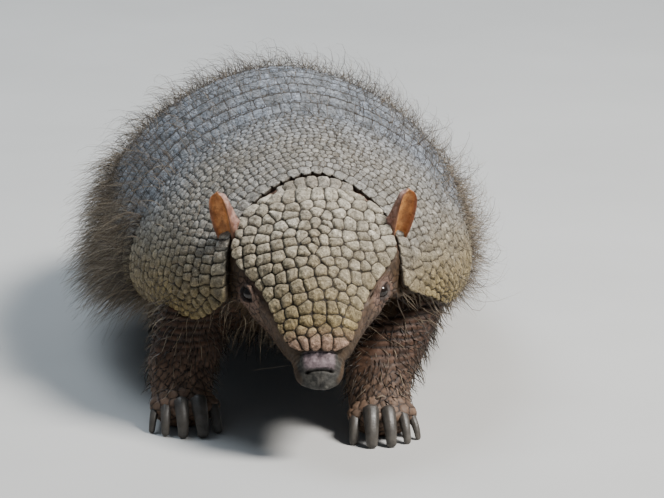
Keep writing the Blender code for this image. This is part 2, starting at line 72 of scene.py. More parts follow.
# ---- The body's sizes, as the solids have them --------------------------------------------
SIDE_SHARE = 0.84
PEAK = 1.75
LIP = 0.006
WIDEST_Z = 0.054
SHELL_FRONT, SHELL_LOBES, LOBE_ROUND = -0.066, 0.026, 0.024
LOBE_LEFT, LOBE_LIFT = 0.0055, 0.07  # the left lobe comes further forward, and ends higher
LEFT_CORNER, LEFT_FROM, LEFT_TO = 0.0050, 0.68, 0.84  # how its lower corner is cut back, and where
SCAPULAR_REAR = -0.016
BAND_COUNT, BAND_PITCH, BAND_SINK, SWEEP = 7, 0.012, 0.001, 0.006
PELVIC_REAR, PELVIC_ROUND = 0.177, 0.022
NAPE = Vector((-0.0012, -0.069, 0.102))
HEAD_TURN = (math.radians(-3.9), math.radians(41), math.radians(-0.5))  # yaw, pitch, roll
EYE = Vector((0.0256, -0.0476, -0.0128))
EYE_RADIUS, LID, SOCKET = 0.0038, 0.0007, 0.0012  # and how far lids and socket go past the ball
EAR_ROOT = Vector((0.0335, -0.0240, -0.0180))
EAR_LEAN, EAR_BACK, EAR_TURN = math.radians(12), math.radians(28), math.radians(16)
EAR_LENGTH = 0.0285

# Along Y, the box of a band in the middle of the back says where the solids were moved to.
SHIFT = Vector((0.0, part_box("band_4")[1][1] - (SCAPULAR_REAR + 4 * BAND_PITCH), 0.0))


def through(*stations):
    """A smooth function through (place, value) stations, level beyond the ends."""
    places, values = (np.array(row, float) for row in zip(*stations))
    slopes = np.gradient(values, places)

    def value(place):
        place = np.clip(place, places[0], places[-1])
        i = np.clip(np.searchsorted(places, place, side="right"), 1, len(places) - 1)
        step = places[i] - places[i - 1]
        t = (place - places[i - 1]) / step
        start = (1 + 2 * t) * (1 - t) ** 2 * values[i - 1] + t * (1 - t) ** 2 * step * slopes[i - 1]
        end = t * t * (3 - 2 * t) * values[i] + t * t * (t - 1) * step * slopes[i]
        return start + end

    return value


half_width = through(
    (-0.100, 0.032), (-0.086, 0.044), (-0.070, 0.056), (-0.045, 0.067), (0.000, 0.0755),
    (0.040, 0.0780), (0.085, 0.0752), (0.128, 0.0635), (0.155, 0.0480), (0.170, 0.0340),
    (0.178, 0.0220),
)
ridge = through(
    (-0.100, 0.082), (-0.066, 0.103), (-0.035, 0.1130), (0.000, 0.1190), (0.030, 0.1215),
    (0.055, 0.1200), (0.090, 0.1128), (0.130, 0.0985), (0.155, 0.0830), (0.170, 0.0680),
    (0.178, 0.0560),
)
rim = through((-0.090, 0.046), (-0.040, 0.042), (0.050, 0.038), (0.110, 0.040), (0.176, 0.046))
plate_half = through(
    (-0.0817, 0.0055), (-0.0790, 0.0110), (-0.0724, 0.0152), (-0.0631, 0.0182),
    (-0.0538, 0.0215), (-0.0445, 0.0268), (-0.0371, 0.0318), (-0.0315, 0.0340),
    (-0.0231, 0.0325), (-0.0115, 0.0268), (-0.0050, 0.0170),
)
crown = through(
    (-0.0915, -0.0100), (-0.0870, -0.0068), (-0.0820, -0.0035), (-0.066, 0.0010), (-0.045, 0.0035),
    (-0.022, 0.0030), (0.002, 0.0),
)
head_half = through(
    (-0.0915, 0.0080), (-0.0890, 0.0097), (-0.0850, 0.0108), (-0.077, 0.0140), (-0.064, 0.0215),
    (-0.050, 0.0278), (-0.034, 0.0308), (-0.024, 0.0315), (-0.012, 0.0300), (0.000, 0.0270),
)
jaw = through(
    (-0.0915, -0.0168), (-0.0880, -0.0190), (-0.077, -0.0224), (-0.060, -0.0280), (-0.040, -0.0350),
    (-0.020, -0.0390), (0.000, -0.0380),
)
plate_fall = through((-0.082, 0.0020), (-0.070, 0.0055), (-0.030, 0.0105), (-0.005, 0.0050))
PLATE_FRONT, PLATE_BACK = -0.0817, -0.0050

HEAD_FRAME = (
    Matrix.Translation(NAPE)
    @ Matrix.Rotation(HEAD_TURN[0], 4, "Z")
    @ Matrix.Rotation(HEAD_TURN[1], 4, "X")
    @ Matrix.Rotation(HEAD_TURN[2], 4, "Y")
)


def moved(points, matrix):
    """Points (N, 3) through a 4x4 matrix."""
    m = np.array(matrix)
    return points @ m[:3, :3].T + m[:3, 3]


def sunk(of_y, y, depth):
    """A profile's value at y, for a surface that lies depth under the profile's own."""
    slope = (of_y(y + 0.001) - of_y(y - 0.001)) / 0.002
    return of_y(y) - depth * np.hypot(1.0, np.clip(slope, -1.6, 1.6))


def shell_points(y, around, depth=0.0):
    """Points of the carapace: around is 0 on the ridge and -1 or 1 at the lower rims."""
    y, around, depth = np.broadcast_arrays(y, around, np.asarray(depth, float))
    side = np.sign(around)
    across = sunk(half_width, y, depth)
    share = np.minimum(np.abs(around) / SIDE_SHARE, 1.0)
    angle = share * math.pi / 2
    out = np.sin(angle) ** (2 / PEAK)
    up = np.maximum(np.cos(angle), 0.0) ** (2 / PEAK)
    turn = np.clip((np.abs(around) - SIDE_SHARE) / (1 - SIDE_SHARE), 0, 1) * math.pi / 2
    x = across * out - LIP * (1 - np.cos(turn))
    z = WIDEST_Z + (sunk(ridge, y, depth) - WIDEST_Z) * up
    z = z - (WIDEST_Z - rim(y)) * np.sin(turn)
    return np.stack([side * x, y, z], axis=-1)


def even_around():
    """Turns an even share of the arc, from -1 to 1, into the shell's around."""
    around = np.linspace(0, 1, 400)
    run = shell_points(0.03, around)
    length = np.concatenate([[0], np.cumsum(np.linalg.norm(np.diff(run, axis=0), axis=1))])
    return lambda share: np.sign(share) * np.interp(np.abs(share), length / length[-1], around)


around_of = even_around()


# ---- Numbers from noise and from cells ----------------------------------------------------


def noise(points, size, seed):
    """Smooth noise from -1 to 1 at points (..., 3)."""
    q = np.asarray(points, float) / size
    base = np.floor(q).astype(np.int64)
    f = q - base
    f = f * f * (3 - 2 * f)
    total = np.zeros(q.shape[:-1])
    for corner in np.ndindex(2, 2, 2):
        cell = base + np.array(corner)
        mixed = cell[..., 0] * 73856093 ^ cell[..., 1] * 19349663 ^ cell[..., 2] * 83492791
        mixed = (mixed ^ (seed * 40503 + 12345)) & 0xFFFFFFFF
        mixed = ((mixed ^ (mixed >> 13)) * 1274126177) & 0xFFFFFFFF
        value = ((mixed ^ (mixed >> 16)) & 0xFFFF) / 32767.5 - 1
        weight = np.prod(np.where(np.array(corner) == 1, f, 1 - f), axis=-1)
        total += weight * value
    return total


def layered(points, size, seed):
    return 0.65 * noise(points, size, seed) + 0.35 * noise(points, size * 0.43, seed + 7)


def smooth(x):
    x = np.clip(x, 0.0, 1.0)
    return x * x * (3 - 2 * x)


def between(x, low, high):
    """Rises smoothly from 0 at low to 1 at high."""
    return smooth((x - low) / (high - low))


def fades(x, low, high):
    """Falls smoothly from 1 at low to 0 at high."""
    return 1 - between(x, low, high)


def hill(x, middle, width):
    """A round hill of height 1 about the middle."""
    return np.exp(-((x - middle) / width) ** 2)


def at_side(place, side):
    """A place of the left side, or its mirror where side is -1."""
    return np.array([side * place[0], place[1], place[2]])


def cells(points, seeds, near=4, soft=0.0):
    """For each point: its cell, and the distance to that cell's border. soft rounds the
    cell's corners."""
    tree = KDTree(len(seeds))
    for i, seed in enumerate(seeds):
        tree.insert(seed, i)
    tree.balance()
    found = np.array([[hit[1] for hit in tree.find_n(p, near)] for p in points])
    first = seeds[found[:, 0]]
    own = ((points - first) ** 2).sum(1)
    borders = []
    for k in range(1, near):
        other = seeds[found[:, k]]
        apart = np.linalg.norm(other - first, axis=1)
        borders.append((((points - other) ** 2).sum(1) - own) / (2 * apart))
    borders = np.array(borders)
    border = borders.min(axis=0)
    if soft:
        border = border - soft * np.log(np.exp((border - borders) / soft).sum(axis=0))
    return found[:, 0], border


# ---- Meshes -------------------------------------------------------------------------------


@contextmanager
def editing(mesh):
    """A mesh opened for editing, and written back."""
    made = bmesh.new()
    made.from_mesh(mesh)
    yield made
    made.to_mesh(mesh)
    made.free()


def shown(name, mesh):
    thing = bpy.data.objects.new(name, mesh)
    bpy.context.scene.collection.objects.link(thing)
    return thing


def set_values(mesh, values):
    """Per-vertex values as attributes of their names."""
    for key, value in values.items():
        layer = mesh.attributes.new(key, "FLOAT", "POINT")
        layer.data.foreach_set("value", np.asarray(value, np.float32))


def new_mesh(name, points, faces, values, outwards=False):
    """A smooth mesh object in the frame's place, with its per-vertex values."""
    mesh = bpy.data.meshes.new(name)
    mesh.from_pydata((np.asarray(points) + np.array(SHIFT)).tolist(), [], faces)
    if outwards:
        with editing(mesh) as made:
            bmesh.ops.recalc_face_normals(made, faces=made.faces)
    mesh.shade_smooth()
    set_values(mesh, values)
    return shown(name, mesh)


def bake_map(thing, per_vertex):
    """Gives a mesh its OFBake map from one (u, v) per vertex."""
    mesh = thing.data
    layer = mesh.uv_layers.new(name="OFBake")
    corner = np.empty(len(mesh.loops), np.int32)
    mesh.loops.foreach_get("vertex_index", corner)
    layer.data.foreach_set("uv", np.asarray(per_vertex, np.float32)[corner].ravel())


def grid_faces(rows, columns):
    r, c = np.meshgrid(np.arange(rows - 1), np.arange(columns - 1), indexing="ij")
    a = (r * columns + c).ravel()
    return np.stack([a, a + 1, a + columns + 1, a + columns], axis=1)


def grid_normals(points):
    """Normals of a grid of points (R, C, 3). Seen from the side to which they point, the next
    row lies to the left of the way along a row."""
    down = np.gradient(points, axis=0)
    across = np.gradient(points, axis=1)
    n = np.cross(across, down)
    return n / np.maximum(np.linalg.norm(n, axis=2, keepdims=True), 1e-12)


def unit(v):
    return v / np.maximum(np.linalg.norm(v, axis=-1, keepdims=True), 1e-12)


def edge_distance(points):
    """How far each point of a grid is from the nearest of the grid's four sides."""
    best = None
    for axis in (0, 1):
        step = np.linalg.norm(np.diff(points, axis=axis), axis=2)
        pad = [(0, 0), (0, 0)]
        pad[axis] = (1, 0)
        run = np.pad(np.cumsum(step, axis=axis), pad)
        total = np.take(run, [-1], axis=axis)
        both = np.minimum(run, total - run)
        best = both if best is None else np.minimum(best, both)
    return best


def bordered(count):
    """Places along a side of a grid with two more at each end: the nearest that the grid
    has, and how far outside it each is."""
    at = np.arange(-2, count + 2)
    return np.clip(at, 0, count - 1), np.maximum(-at, at - (count - 1))


def plate(name, points, seeds, look, *, thick, tall, groove, seed, flange=0.003, scallop=0.0005,
          uv_box=(0, 0, 1, 1), lip=0.0, shade=0.0, pebble=0.5, rounded=0.00022, rear_gap_shade=0.0):
    """A curved armour plate over a grid of points (R, C, 3): domed scutes about the seeds,
    sunk grooves between them, and a rim that turns in to the plate's thickness.

    look(points) gives the zone colours as a dict of values per point. lip raises the plate's
    rear edge. shade gives the share of its front that is darkened, painted shade under the plate ahead;
    a second share darkens a strip at its rear edge, painted shade of the gap behind it together with
    that gap's dark skin and hair.
    """
    rows, columns = points.shape[:2]
    normals = grid_normals(points)
    flat = points.reshape(-1, 3)
    warped = flat + 0.00045 * np.stack([layered(flat, 0.0032, seed + k) for k in range(3)], axis=1)
    cell, border = cells(warped, seeds, 5, rounded)
    border = np.maximum(border, 0)
    edge = edge_distance(points).ravel()
    rng = np.random.default_rng(seed)
    tone = rng.uniform(-1, 1, len(seeds))
    lift = rng.uniform(-1, 1, len(seeds))
    slant = rng.normal(0, 1, (len(seeds), 3))
    inner = np.full(len(seeds), 0.0001)
    within = np.minimum(border, 1.2 * edge + 0.0003)
    np.maximum.at(inner, cell, within)
    dome = np.sqrt(1 - (1 - np.clip(within / inner[cell], 0, 1)) ** 2)
    rise = 1 - (1 - np.clip(border / groove, 0, 1)) ** 2.4
    rise *= 1 - 0.8 * (1 - np.clip(edge / (groove * 1.2), 0, 1)) ** 2
    crest = 0.30 * smooth(border / (groove * 2.6))
    tilt = np.einsum("ij,ij->i", flat - seeds[cell], slant[cell]) * 0.03
    rough = 0.34 * layered(flat, 0.0013, seed + 11)
    zones = look(flat)
    tall = tall * (1 + zones.pop("grow", 0.0))
    pebble = np.clip(pebble + 0.3 * (tall / tall.min() - 1), 0, 0.85) if np.ndim(tall) else pebble
    body = (1 - pebble) * (0.72 + crest) + pebble * 1.15 * dome
    height = tall * (rise * (body + 0.12 * lift[cell] + rough) - 0.75) + tilt * rise
    along = np.repeat(np.linspace(0, 1, rows), columns)
    height = height + lip * between(along, 0.70, 1.0)
    # Painted shade: a share of the plate's front, where it lies under the plate ahead, and a strip at
    # its rear edge, for the shaded gap behind it with that gap's dark skin and hair, are darkened
    # through cover.
    rise = rise * (1 - 0.85 * fades(along, 0.0, shade) if shade else 1)
    rise = rise * (1 - 0.92 * between(along, 1 - rear_gap_shade, 1 - 0.35 * rear_gap_shade) if rear_gap_shade else 1)
    # Between two scutes the plate's free edge is drawn in a little.
    inward = scallop * (1 - smooth(border / (groove * 2.0))) * (1 - smooth(edge / 0.0018))
    shape = (rows, columns)
    toward = unit(points[rows // 2, columns // 2] - points)
    toward = toward - normals * np.einsum("rci,rci->rc", toward, normals)[..., None]
    out = points + normals * height.reshape(shape)[..., None]
    out += unit(toward) * inward.reshape(shape)[..., None]

    # Two more rings round the border: down the rim, and back under the plate.
    (r, ring_r), (c, ring_c) = bordered(rows), bordered(columns)
    take = np.ix_(r, c)
    grown, grown_n = out[take], normals[take]
    inner_r, inner_c = np.clip(r, 1, rows - 2), np.clip(c, 1, columns - 2)
    inwards = unit(points[np.ix_(inner_r, inner_c)] - points[take])
    ring = np.maximum(ring_r[:, None], ring_c[None, :])
    first, second = (ring == 1)[..., None], (ring == 2)[..., None]
    grown = grown - grown_n * (first * thick * 0.75 + second * thick) + inwards * second * flange
    values = {
        "cover": np.pad(rise.reshape(shape), 2, constant_values=0.44).ravel(),
        "tone": tone[cell].reshape(shape)[take].ravel(),
    }
    for key, value in zones.items():
        values[key] = np.asarray(value).reshape(shape)[take].ravel()
    values["pink"] = np.maximum(values["pink"], 0.75 * (ring > 0).ravel())
    thing = new_mesh(name, grown.reshape(-1, 3), grid_faces(rows + 4, columns + 4).tolist(), values)
    u0, v0, u1, v1 = uv_box
    v, u = np.meshgrid(
        np.linspace(v0, v1, rows + 4), np.linspace(u0, u1, columns + 4), indexing="ij",
    )
    bake_map(thing, np.stack([u.ravel(), v.ravel()], axis=1))
    return thing


# ---- Materials ----------------------------------------------------------------------------


class Nodes:
    """A material's node tree, with short ways to add what all of them use. What goes into a
    socket is another node's output, a number or an RGB."""

    def __init__(self, name, roughness, specular=0.35):
        self.made = bpy.data.materials.new(name)
        self.made.use_nodes = True
        self.tree = self.made.node_tree
        self.shader = self.tree.nodes["Principled BSDF"]
        self.feed(self.shader, {"Roughness": roughness, "Specular IOR Level": specular})
        self.place = self.tree.nodes.new("ShaderNodeTexCoord").outputs["Object"]

    def feed(self, node, inputs):
        for key, item in inputs.items():
            if isinstance(item, bpy.types.NodeSocket):
                self.tree.links.new(item, node.inputs[key])
            else:
                node.inputs[key].default_value = (*item, 1.0) if isinstance(item, tuple) else item

    def add(self, kind, inputs):
        node = self.tree.nodes.new("ShaderNode" + kind)
        self.feed(node, inputs)
        return node

    def value(self, key):
        node = self.add("Attribute", {})
        node.attribute_name = key
        return node.outputs["Fac"]

    def noise(self, scale, detail=4.0, rough=0.6):
        inputs = {"Vector": self.place, "Scale": scale, "Detail": detail, "Roughness": rough}
        return self.add("TexNoise", inputs).outputs["Fac"]

    def pits(self, scale):
        return self.add("TexVoronoi", {"Vector": self.place, "Scale": scale}).outputs["Distance"]

    def spread(self, fac, low, high, to_low=0.0, to_high=1.0):
        ends = {"From Min": low, "From Max": high, "To Min": to_low, "To Max": to_high}
        return self.add("MapRange", {"Value": fac, **ends}).outputs["Result"]

    def maths(self, operation, a, b):
        node = self.add("Math", {0: a, 1: b})
        node.operation = operation
        return node.outputs["Value"]

    def mix(self, fac, a, b, blend="MIX"):
        """Colours a and b mixed by fac."""
        node = self.tree.nodes.new("ShaderNodeMix")
        node.data_type = "RGBA"
        node.blend_type = blend
        self.feed(node, {0: fac, 6: a, 7: b})
        return node.outputs[2]

    def mottled(self, scale, dull, fresh, detail=5, low=0.3, high=0.7):
        return self.mix(self.spread(self.noise(scale, detail), low, high), dull, fresh)

    def times(self, face, by):
        return self.mix(1.0, face, by, "MULTIPLY")

    def bump(self, *layers):
        """Bump from (height socket, strength, distance in metres), one on the other."""
        below = {}
        for height, strength, distance in layers:
            inputs = {"Height": height, "Strength": strength, "Distance": distance, **below}
            below = {"Normal": self.add("Bump", inputs).outputs["Normal"]}
        self.feed(self.shader, below)

    def colour(self, socket):
        self.feed(self.shader, {"Base Color": socket})

    def rough(self, socket):
        self.feed(self.shader, {"Roughness": socket})


def wear(thing, nodes):
    thing.data.materials.clear()
    thing.data.materials.append(nodes.made)


def armour_material():
    m = Nodes("armour", 0.62)
    # The blue mix is partly the shell's own grey-blue and partly painted sky light, strongest on the
    # upper and rear surfaces.
    face = m.mix(
        m.value("blue"), m.mottled(160, (0.155, 0.140, 0.112), (0.40, 0.370, 0.310)),
        m.mottled(170, (0.105, 0.124, 0.152), (0.30, 0.335, 0.390)),
    )
    for key, scale, dull, fresh in (
        ("cream", 210, (0.25, 0.226, 0.174), (0.60, 0.550, 0.445)),
        ("ochre", 190, (0.135, 0.098, 0.034), (0.40, 0.310, 0.140)),
        ("pink", 150, (0.180, 0.105, 0.075), (0.38, 0.245, 0.190)),
    ):
        face = m.mix(m.value(key), face, m.mottled(scale, dull, fresh))
    tone = m.spread(m.value("tone"), -1, 1, 0.10, 0.90)
    face = m.mix(tone, m.times(face, (0.62, 0.59, 0.54)), face)
    # Worn pale grains, and dirt in the pits between them.
    grain = m.spread(m.noise(640, 4, 0.8), 0.52, 0.64)
    face = m.mix(m.maths("MULTIPLY", grain, 0.85), face, m.times(face, (2.0, 2.0, 2.05)))
    dirt = m.spread(m.noise(520, 5, 0.85), 0.49, 0.61)
    face = m.mix(m.maths("MULTIPLY", dirt, 0.86), face, m.times(face, (0.26, 0.23, 0.19)))
    # cover is low in the dark grooves between scutes and also carries painted shade at the plates'
    # fronts and rear strips.
    cover = m.maths("ADD", m.value("cover"), m.spread(m.noise(900, 2), 0.2, 0.8, -0.16, 0.16))
    m.colour(m.mix(m.spread(cover, 0.22, 0.80), (0.026, 0.018, 0.010), face))
    m.rough(m.spread(m.noise(500, 3), 0.3, 0.7, 0.44, 0.70))
    m.bump((m.noise(1300, 4, 0.75), 0.9, 0.0006), (m.pits(1600), 0.5, 0.00035))
    return m


# ---- Armour -------------------------------------------------------------------------------


def seed_rows(curve, rows, width, seed, jitter=0.12):
    """Seeds in staggered rows: curve(share, v) is the surface, rows the v of each row, and
    width the spacing across, as a number or by share."""
    rng = np.random.default_rng(seed)
    share = np.linspace(-1, 1, 600)
    out = []
    for j, v in enumerate(rows):
        run = curve(share, np.full_like(share, v))
        step = np.linalg.norm(np.diff(run, axis=0), axis=1)
        middle = (share[1:] + share[:-1]) / 2
        apart = width(middle) if callable(width) else width
        count = np.concatenate([[0], np.cumsum(step / apart)])
        whole = max(int(round(count[-1])), 1)
        at = (np.arange(whole) + (0.5 if j % 2 else 0.25)) / whole
        at = at + rng.normal(0, jitter, whole) / whole
        place = np.interp(np.clip(at, 0, 1) * count[-1], count, share)
        gap = np.gradient(np.asarray(rows, float))[j] if len(rows) > 1 else 0.0
        lift = v + rng.normal(0, jitter, whole) * gap
        out.append(curve(place, lift))
    return np.concatenate(out)


def body_look(points):
    _, y, z = points.T
    far = between(y, -0.055, 0.0)
    low = fades(z, 0.046, 0.088)
    drift = 0.22 * layered(points, 0.02, 5)
    # Blue: the shell's own grey-blue together with painted sky light, strongest on the upper surfaces
    # and the back, fading on the lower ones.
    blue = np.clip((0.62 + 0.38 * far) * (1 - 0.8 * low) + drift, 0, 1)
    ochre = np.clip(0.85 * low - 0.35 * far + 0.12 + drift, 0, 1)
    lobe = fades(y, -0.084, -0.052) * fades(z, 0.066, 0.092)
    cream = np.clip(0.30 * (1 - far) * (1 - lobe) + 0.5 * drift, 0, 1)
    pink = np.zeros(len(points))
    return {"blue": blue, "ochre": ochre, "cream": cream, "pink": pink, "grow": 1.3 * lobe}


def lobes_front(around):
    """The Y of the scapular shield's two forward lobes, before their corners are rounded."""
    side = np.sin(np.minimum(np.abs(around) / SIDE_SHARE, 1) * math.pi / 2)
    return SHELL_FRONT - (SHELL_LOBES + LOBE_LEFT * (around > 0)) * side ** 2


def scapular_curve(share, v):
    around = around_of(share)
    corner = np.maximum(np.abs(around) - 0.75, 0) / 0.25
    front = lobes_front(around) + LOBE_ROUND * corner ** 2
    front = front + 0.0020 * hill(np.abs(around), 0.40, 0.15)
    front = front + LEFT_CORNER * between(around, LEFT_FROM, LEFT_TO)
    rear = SCAPULAR_REAR - SWEEP * around ** 2
    return shell_points(front + (rear - front) * v, around * (1 - LOBE_LIFT * (around > 0) * (1 - v)))


def pelvic_curve(share, v):
    around = around_of(share)
    front = SCAPULAR_REAR + BAND_COUNT * BAND_PITCH - SWEEP * around ** 2
    rear = PELVIC_REAR - PELVIC_ROUND * around ** 4
    return shell_points(front + (rear - front) * v, around, BAND_SINK * np.maximum(1 - 6 * v, 0))


def band_curve(i):
    front = SCAPULAR_REAR + i * BAND_PITCH - 0.0008
    rear = SCAPULAR_REAR + (i + 1) * BAND_PITCH

    def curve(share, v):
        around = around_of(share)
        y = front + (rear - front) * v - SWEEP * around ** 2
        return shell_points(y, around, BAND_SINK * (1 - v))

    return curve


NUCHAL_HALF, NUCHAL_AHEAD, NUCHAL_LONG = 0.0158, 0.0062, 0.0056


def nuchal_height(share, v):
    return 0.0982 + 0.0042 * v - 0.0040 * share ** 2


def nuchal_curve(share, v):
    """The loose row of scutes on the nape, just ahead of the scapular shield."""
    y = SHELL_FRONT - NUCHAL_AHEAD + NUCHAL_LONG * v - 0.0025 * share ** 2
    return np.stack([NUCHAL_HALF * share, y, nuchal_height(share, v)], axis=-1)


def sampled(curve, columns, rows):
    v, share = np.meshgrid(np.linspace(0, 1, rows), np.linspace(-1, 1, columns), indexing="ij")
    return curve(share.ravel(), v.ravel()).reshape(rows, columns, 3)


def make_shields(armour):
    made = []

    brow_share, count = 0.115, 15  # one row of large scutes at the front, and 15 behind it
    rows = brow_share + (np.arange(count) + 0.5) * (1 - brow_share) / count
    seeds = seed_rows(scapular_curve, rows, lambda s: 0.0030 + 0.0018 * np.abs(s) ** 1.6, seed=21)
    brow = seed_rows(scapular_curve, [0.055], 0.0050, jitter=0.08, seed=20)
    seeds = np.concatenate([brow, seeds])
    # Its rear strip is darkened as painted shade of the gap to the first band.
    front = plate(
        "scapular_scutes", sampled(scapular_curve, 560 // FINE, 150 // FINE), seeds, body_look,
        thick=0.0016, tall=0.00050, groove=0.0007, uv_box=(0.01, 0.01, 0.99, 0.34), seed=31, pebble=0.45,
        scallop=0.0015, rear_gap_shade=0.028,
    )
    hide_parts("scapular_shield")
    made.append(front)

    for i in range(BAND_COUNT):
        curve = band_curve(i)
        wide = seed_rows(curve, [0.66], 0.0040, jitter=0.06, seed=40 + i)
        small = seed_rows(curve, [0.14], 0.0023, jitter=0.08, seed=50 + i)
        # Each band is darkened at its front, painted shade under the band ahead, and at its rear strip,
        # painted shade of the gap behind it.
        band = plate(
            f"band_{i + 1}_scutes", sampled(curve, 560 // FINE, 34 // FINE),
            np.concatenate([wide, small]), body_look, thick=0.0022, flange=0.001, tall=0.00036,
            groove=0.0005, pebble=0.2, uv_box=(0.01, 0.01, 0.99, 0.06), seed=60 + i, lip=0.0007,
            shade=0.24, rounded=0.00018, rear_gap_shade=0.13,
        )
        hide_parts(f"band_{i + 1}")
        made.append(band)

    count = 31
    rows = (np.arange(count) + 0.5) / count
    seeds = seed_rows(pelvic_curve, rows, lambda s: 0.0038 + 0.0006 * np.abs(s), jitter=0.1, seed=22)
    # A thin share of its front is darkened as painted shade under the last band.
    rear = plate(
        "pelvic_scutes", sampled(pelvic_curve, 470 // FINE, 200 // FINE), seeds, body_look,
        thick=0.0028, tall=0.00045, groove=0.0006, uv_box=(0.01, 0.01, 0.99, 0.5), seed=32, shade=0.03,
        pebble=0.3,
    )
    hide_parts("pelvic_shield")
    made.append(rear)
    for thing in made:
        wear(thing, armour)
        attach(thing, "root")


def head_plate_curve(share, v):
    y = PLATE_FRONT + (PLATE_BACK - PLATE_FRONT) * v
    x = plate_half(y) * share
    return np.stack([x, y, crown(y) - plate_fall(y) * share ** 2], axis=-1)


def make_head_shield(armour):
    """The head shield's scutes lie in rows across, small on the midline of the forehead."""
    rng = np.random.default_rng(12)
    first, last = 0.035, 0.965
    rows = [first]
    while rows[-1] < 0.955:
        at = rows[-1]
        rows.append(at + 0.066 + 0.006 * math.sin(at * 7) - 0.018 * math.exp(-(at / 0.13) ** 2))
    rows = np.array(rows[:-1])
    rows = first + (rows - rows[0]) * (last - first) / (rows[-1] - rows[0])
    out = []
    for j, v in enumerate(rows):
        y = PLATE_FRONT + (PLATE_BACK - PLATE_FRONT) * v
        half = float(plate_half(np.array(y)))
        forehead = math.exp(-((v - 0.68) / 0.2) ** 2)
        tip = 0.0015 * math.exp(-(v / 0.12) ** 2)

        def width(s, half=half, forehead=forehead, tip=tip):
            return 0.0058 - tip - 0.0018 * forehead * hill(s * half, 0, 0.009)

        line = seed_rows(head_plate_curve, [v], width, seed=90 + j)
        if j % 2:
            line[:, 0] += 0.0013
        line[:, 1] += rng.normal(0, 0.00085, len(line))
        line[:, 0] += rng.normal(0, 0.0006, len(line))
        # The rows' middles lie further back on the snout, and further forward on the forehead.
        line[:, 1] += (0.0022 - 0.0050 * v) * (1 - (line[:, 0] / max(half, 0.008)) ** 2)
        out.append(line)
    seeds = np.concatenate(out)

    def look(points):
        v = (points[:, 1] - PLATE_FRONT) / (PLATE_BACK - PLATE_FRONT)
        drift = 0.15 * layered(points, 0.012, 8)
        ochre = np.clip(1.12 - 1.45 * v + drift, 0, 0.95)
        pink = np.clip(0.85 * fades(v, 0.03, 0.16) + 0.4 * drift, 0, 1)
        cream = np.clip(0.90 * between(v, 0.10, 0.55) + drift, 0, 1)
        # Blue, strongest at the shield's raised rear: its own grey with painted sky light.
        return {"blue": np.clip(0.25 * v + drift, 0, 1), "ochre": ochre, "cream": cream, "pink": pink}

    points = sampled(head_plate_curve, 210 // FINE, 230 // FINE)
    thing = plate(
        "head_scutes", points, seeds, look, thick=0.0022, flange=0.0016, tall=0.0011, groove=0.00078,
        scallop=0.0011, pebble=0.78, rounded=0.00032, uv_box=(0.01, 0.01, 0.99, 0.99), seed=33,
    )
    thing.data.transform(Matrix.Translation(SHIFT) @ HEAD_FRAME @ Matrix.Translation(-SHIFT))
    wear(thing, armour)
    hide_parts("head_shield")
    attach(thing, "root")


# ---- Legs and digits, as the solids have them ---------------------------------------------

# Each digit: place outwards of the middle, angle outwards, reach of the toe, claw length
# and claw width.
FORE_DIGITS = (
    (-0.0112, -12, 0.0070, 0.0130, 0.0044), (-0.0052, -5, 0.0100, 0.0170, 0.0060),
    (0.0014, 1, 0.0100, 0.0165, 0.0054), (0.0072, 8, 0.0075, 0.0140, 0.0040),
    (0.0116, 18, 0.0040, 0.0110, 0.0032),
)
HIND_DIGITS = (
    (-0.0100, -16, 0.0100, 0.0085, 0.0034), (-0.0050, -8, 0.0140, 0.0105, 0.0040),
    (0.0004, 0, 0.0150, 0.0115, 0.0042), (0.0056, 9, 0.0135, 0.0105, 0.0038),
    (0.0102, 19, 0.0095, 0.0085, 0.0032),
)


def leg_plan(side, fore, at, spread):
    """The limb's and the foot's runs of (centre, half width, half height), the digits and
    the side."""
    x, y = at
    if fore:
        elbow = Vector((side * spread, -0.050, 0.053))
        limb = [
            ((side * 0.043, -0.034, 0.068), 0.019, 0.020),
            (elbow, 0.0175, 0.0180),
            ((0.5 * (elbow.x + x), 0.35 * elbow.y + 0.65 * y + 0.009, 0.036), 0.0150, 0.0150),
            ((x, y + 0.010, 0.021), 0.0135, 0.0120),
            ((x, y + 0.003, 0.012), 0.0125, 0.0100),
        ]
        foot = [
            ((x, y + 0.014, 0.0085), 0.0100, 0.0080),
            ((x, y + 0.002, 0.0090), 0.0124, 0.0092),
            ((x, y - 0.006, 0.0085), 0.0122, 0.0085),
        ]
        return limb, foot, FORE_DIGITS, side
    limb = [
        ((side * 0.040, 0.092, 0.060), 0.030, 0.026),
        ((side * 0.050, 0.080, 0.046), 0.024, 0.023),
        ((0.5 * side * 0.055 + 0.5 * x, y + 0.038, 0.030), 0.0165, 0.0185),
        ((x, y + 0.036, 0.017), 0.0120, 0.0140),
    ]
    foot = [
        ((x, y + 0.044, 0.0080), 0.0070, 0.0072),
        ((x, y + 0.026, 0.0088), 0.0100, 0.0090),
        ((x, y + 0.006, 0.0080), 0.0130, 0.0080),
        ((x, y - 0.006, 0.0070), 0.0125, 0.0068),
    ]
    return limb, foot, HIND_DIGITS, side


LEGS = {
    "fore_left": leg_plan(1, True, (0.0242, -0.094), 0.042),
    "fore_right": leg_plan(-1, True, (-0.055, -0.072), 0.044),
    "hind_left": leg_plan(1, False, (0.048, 0.052), 0.050),
    "hind_right": leg_plan(-1, False, (-0.044, 0.076), 0.050),
}


def digit_runs(plan):
    """For each digit, its root on the foot's front, the way it points and its sizes."""
    _, foot, digits, side = plan
    ball = Vector(foot[-1][0])
    for outwards, angle, reach, length, width in digits:
        turn = math.radians(side * angle)
        ahead = Vector((math.sin(turn), -math.cos(turn), 0.0))
        yield ball + Vector((side * outwards * 0.92, 0.004, 0.001)), ahead, reach, length, width


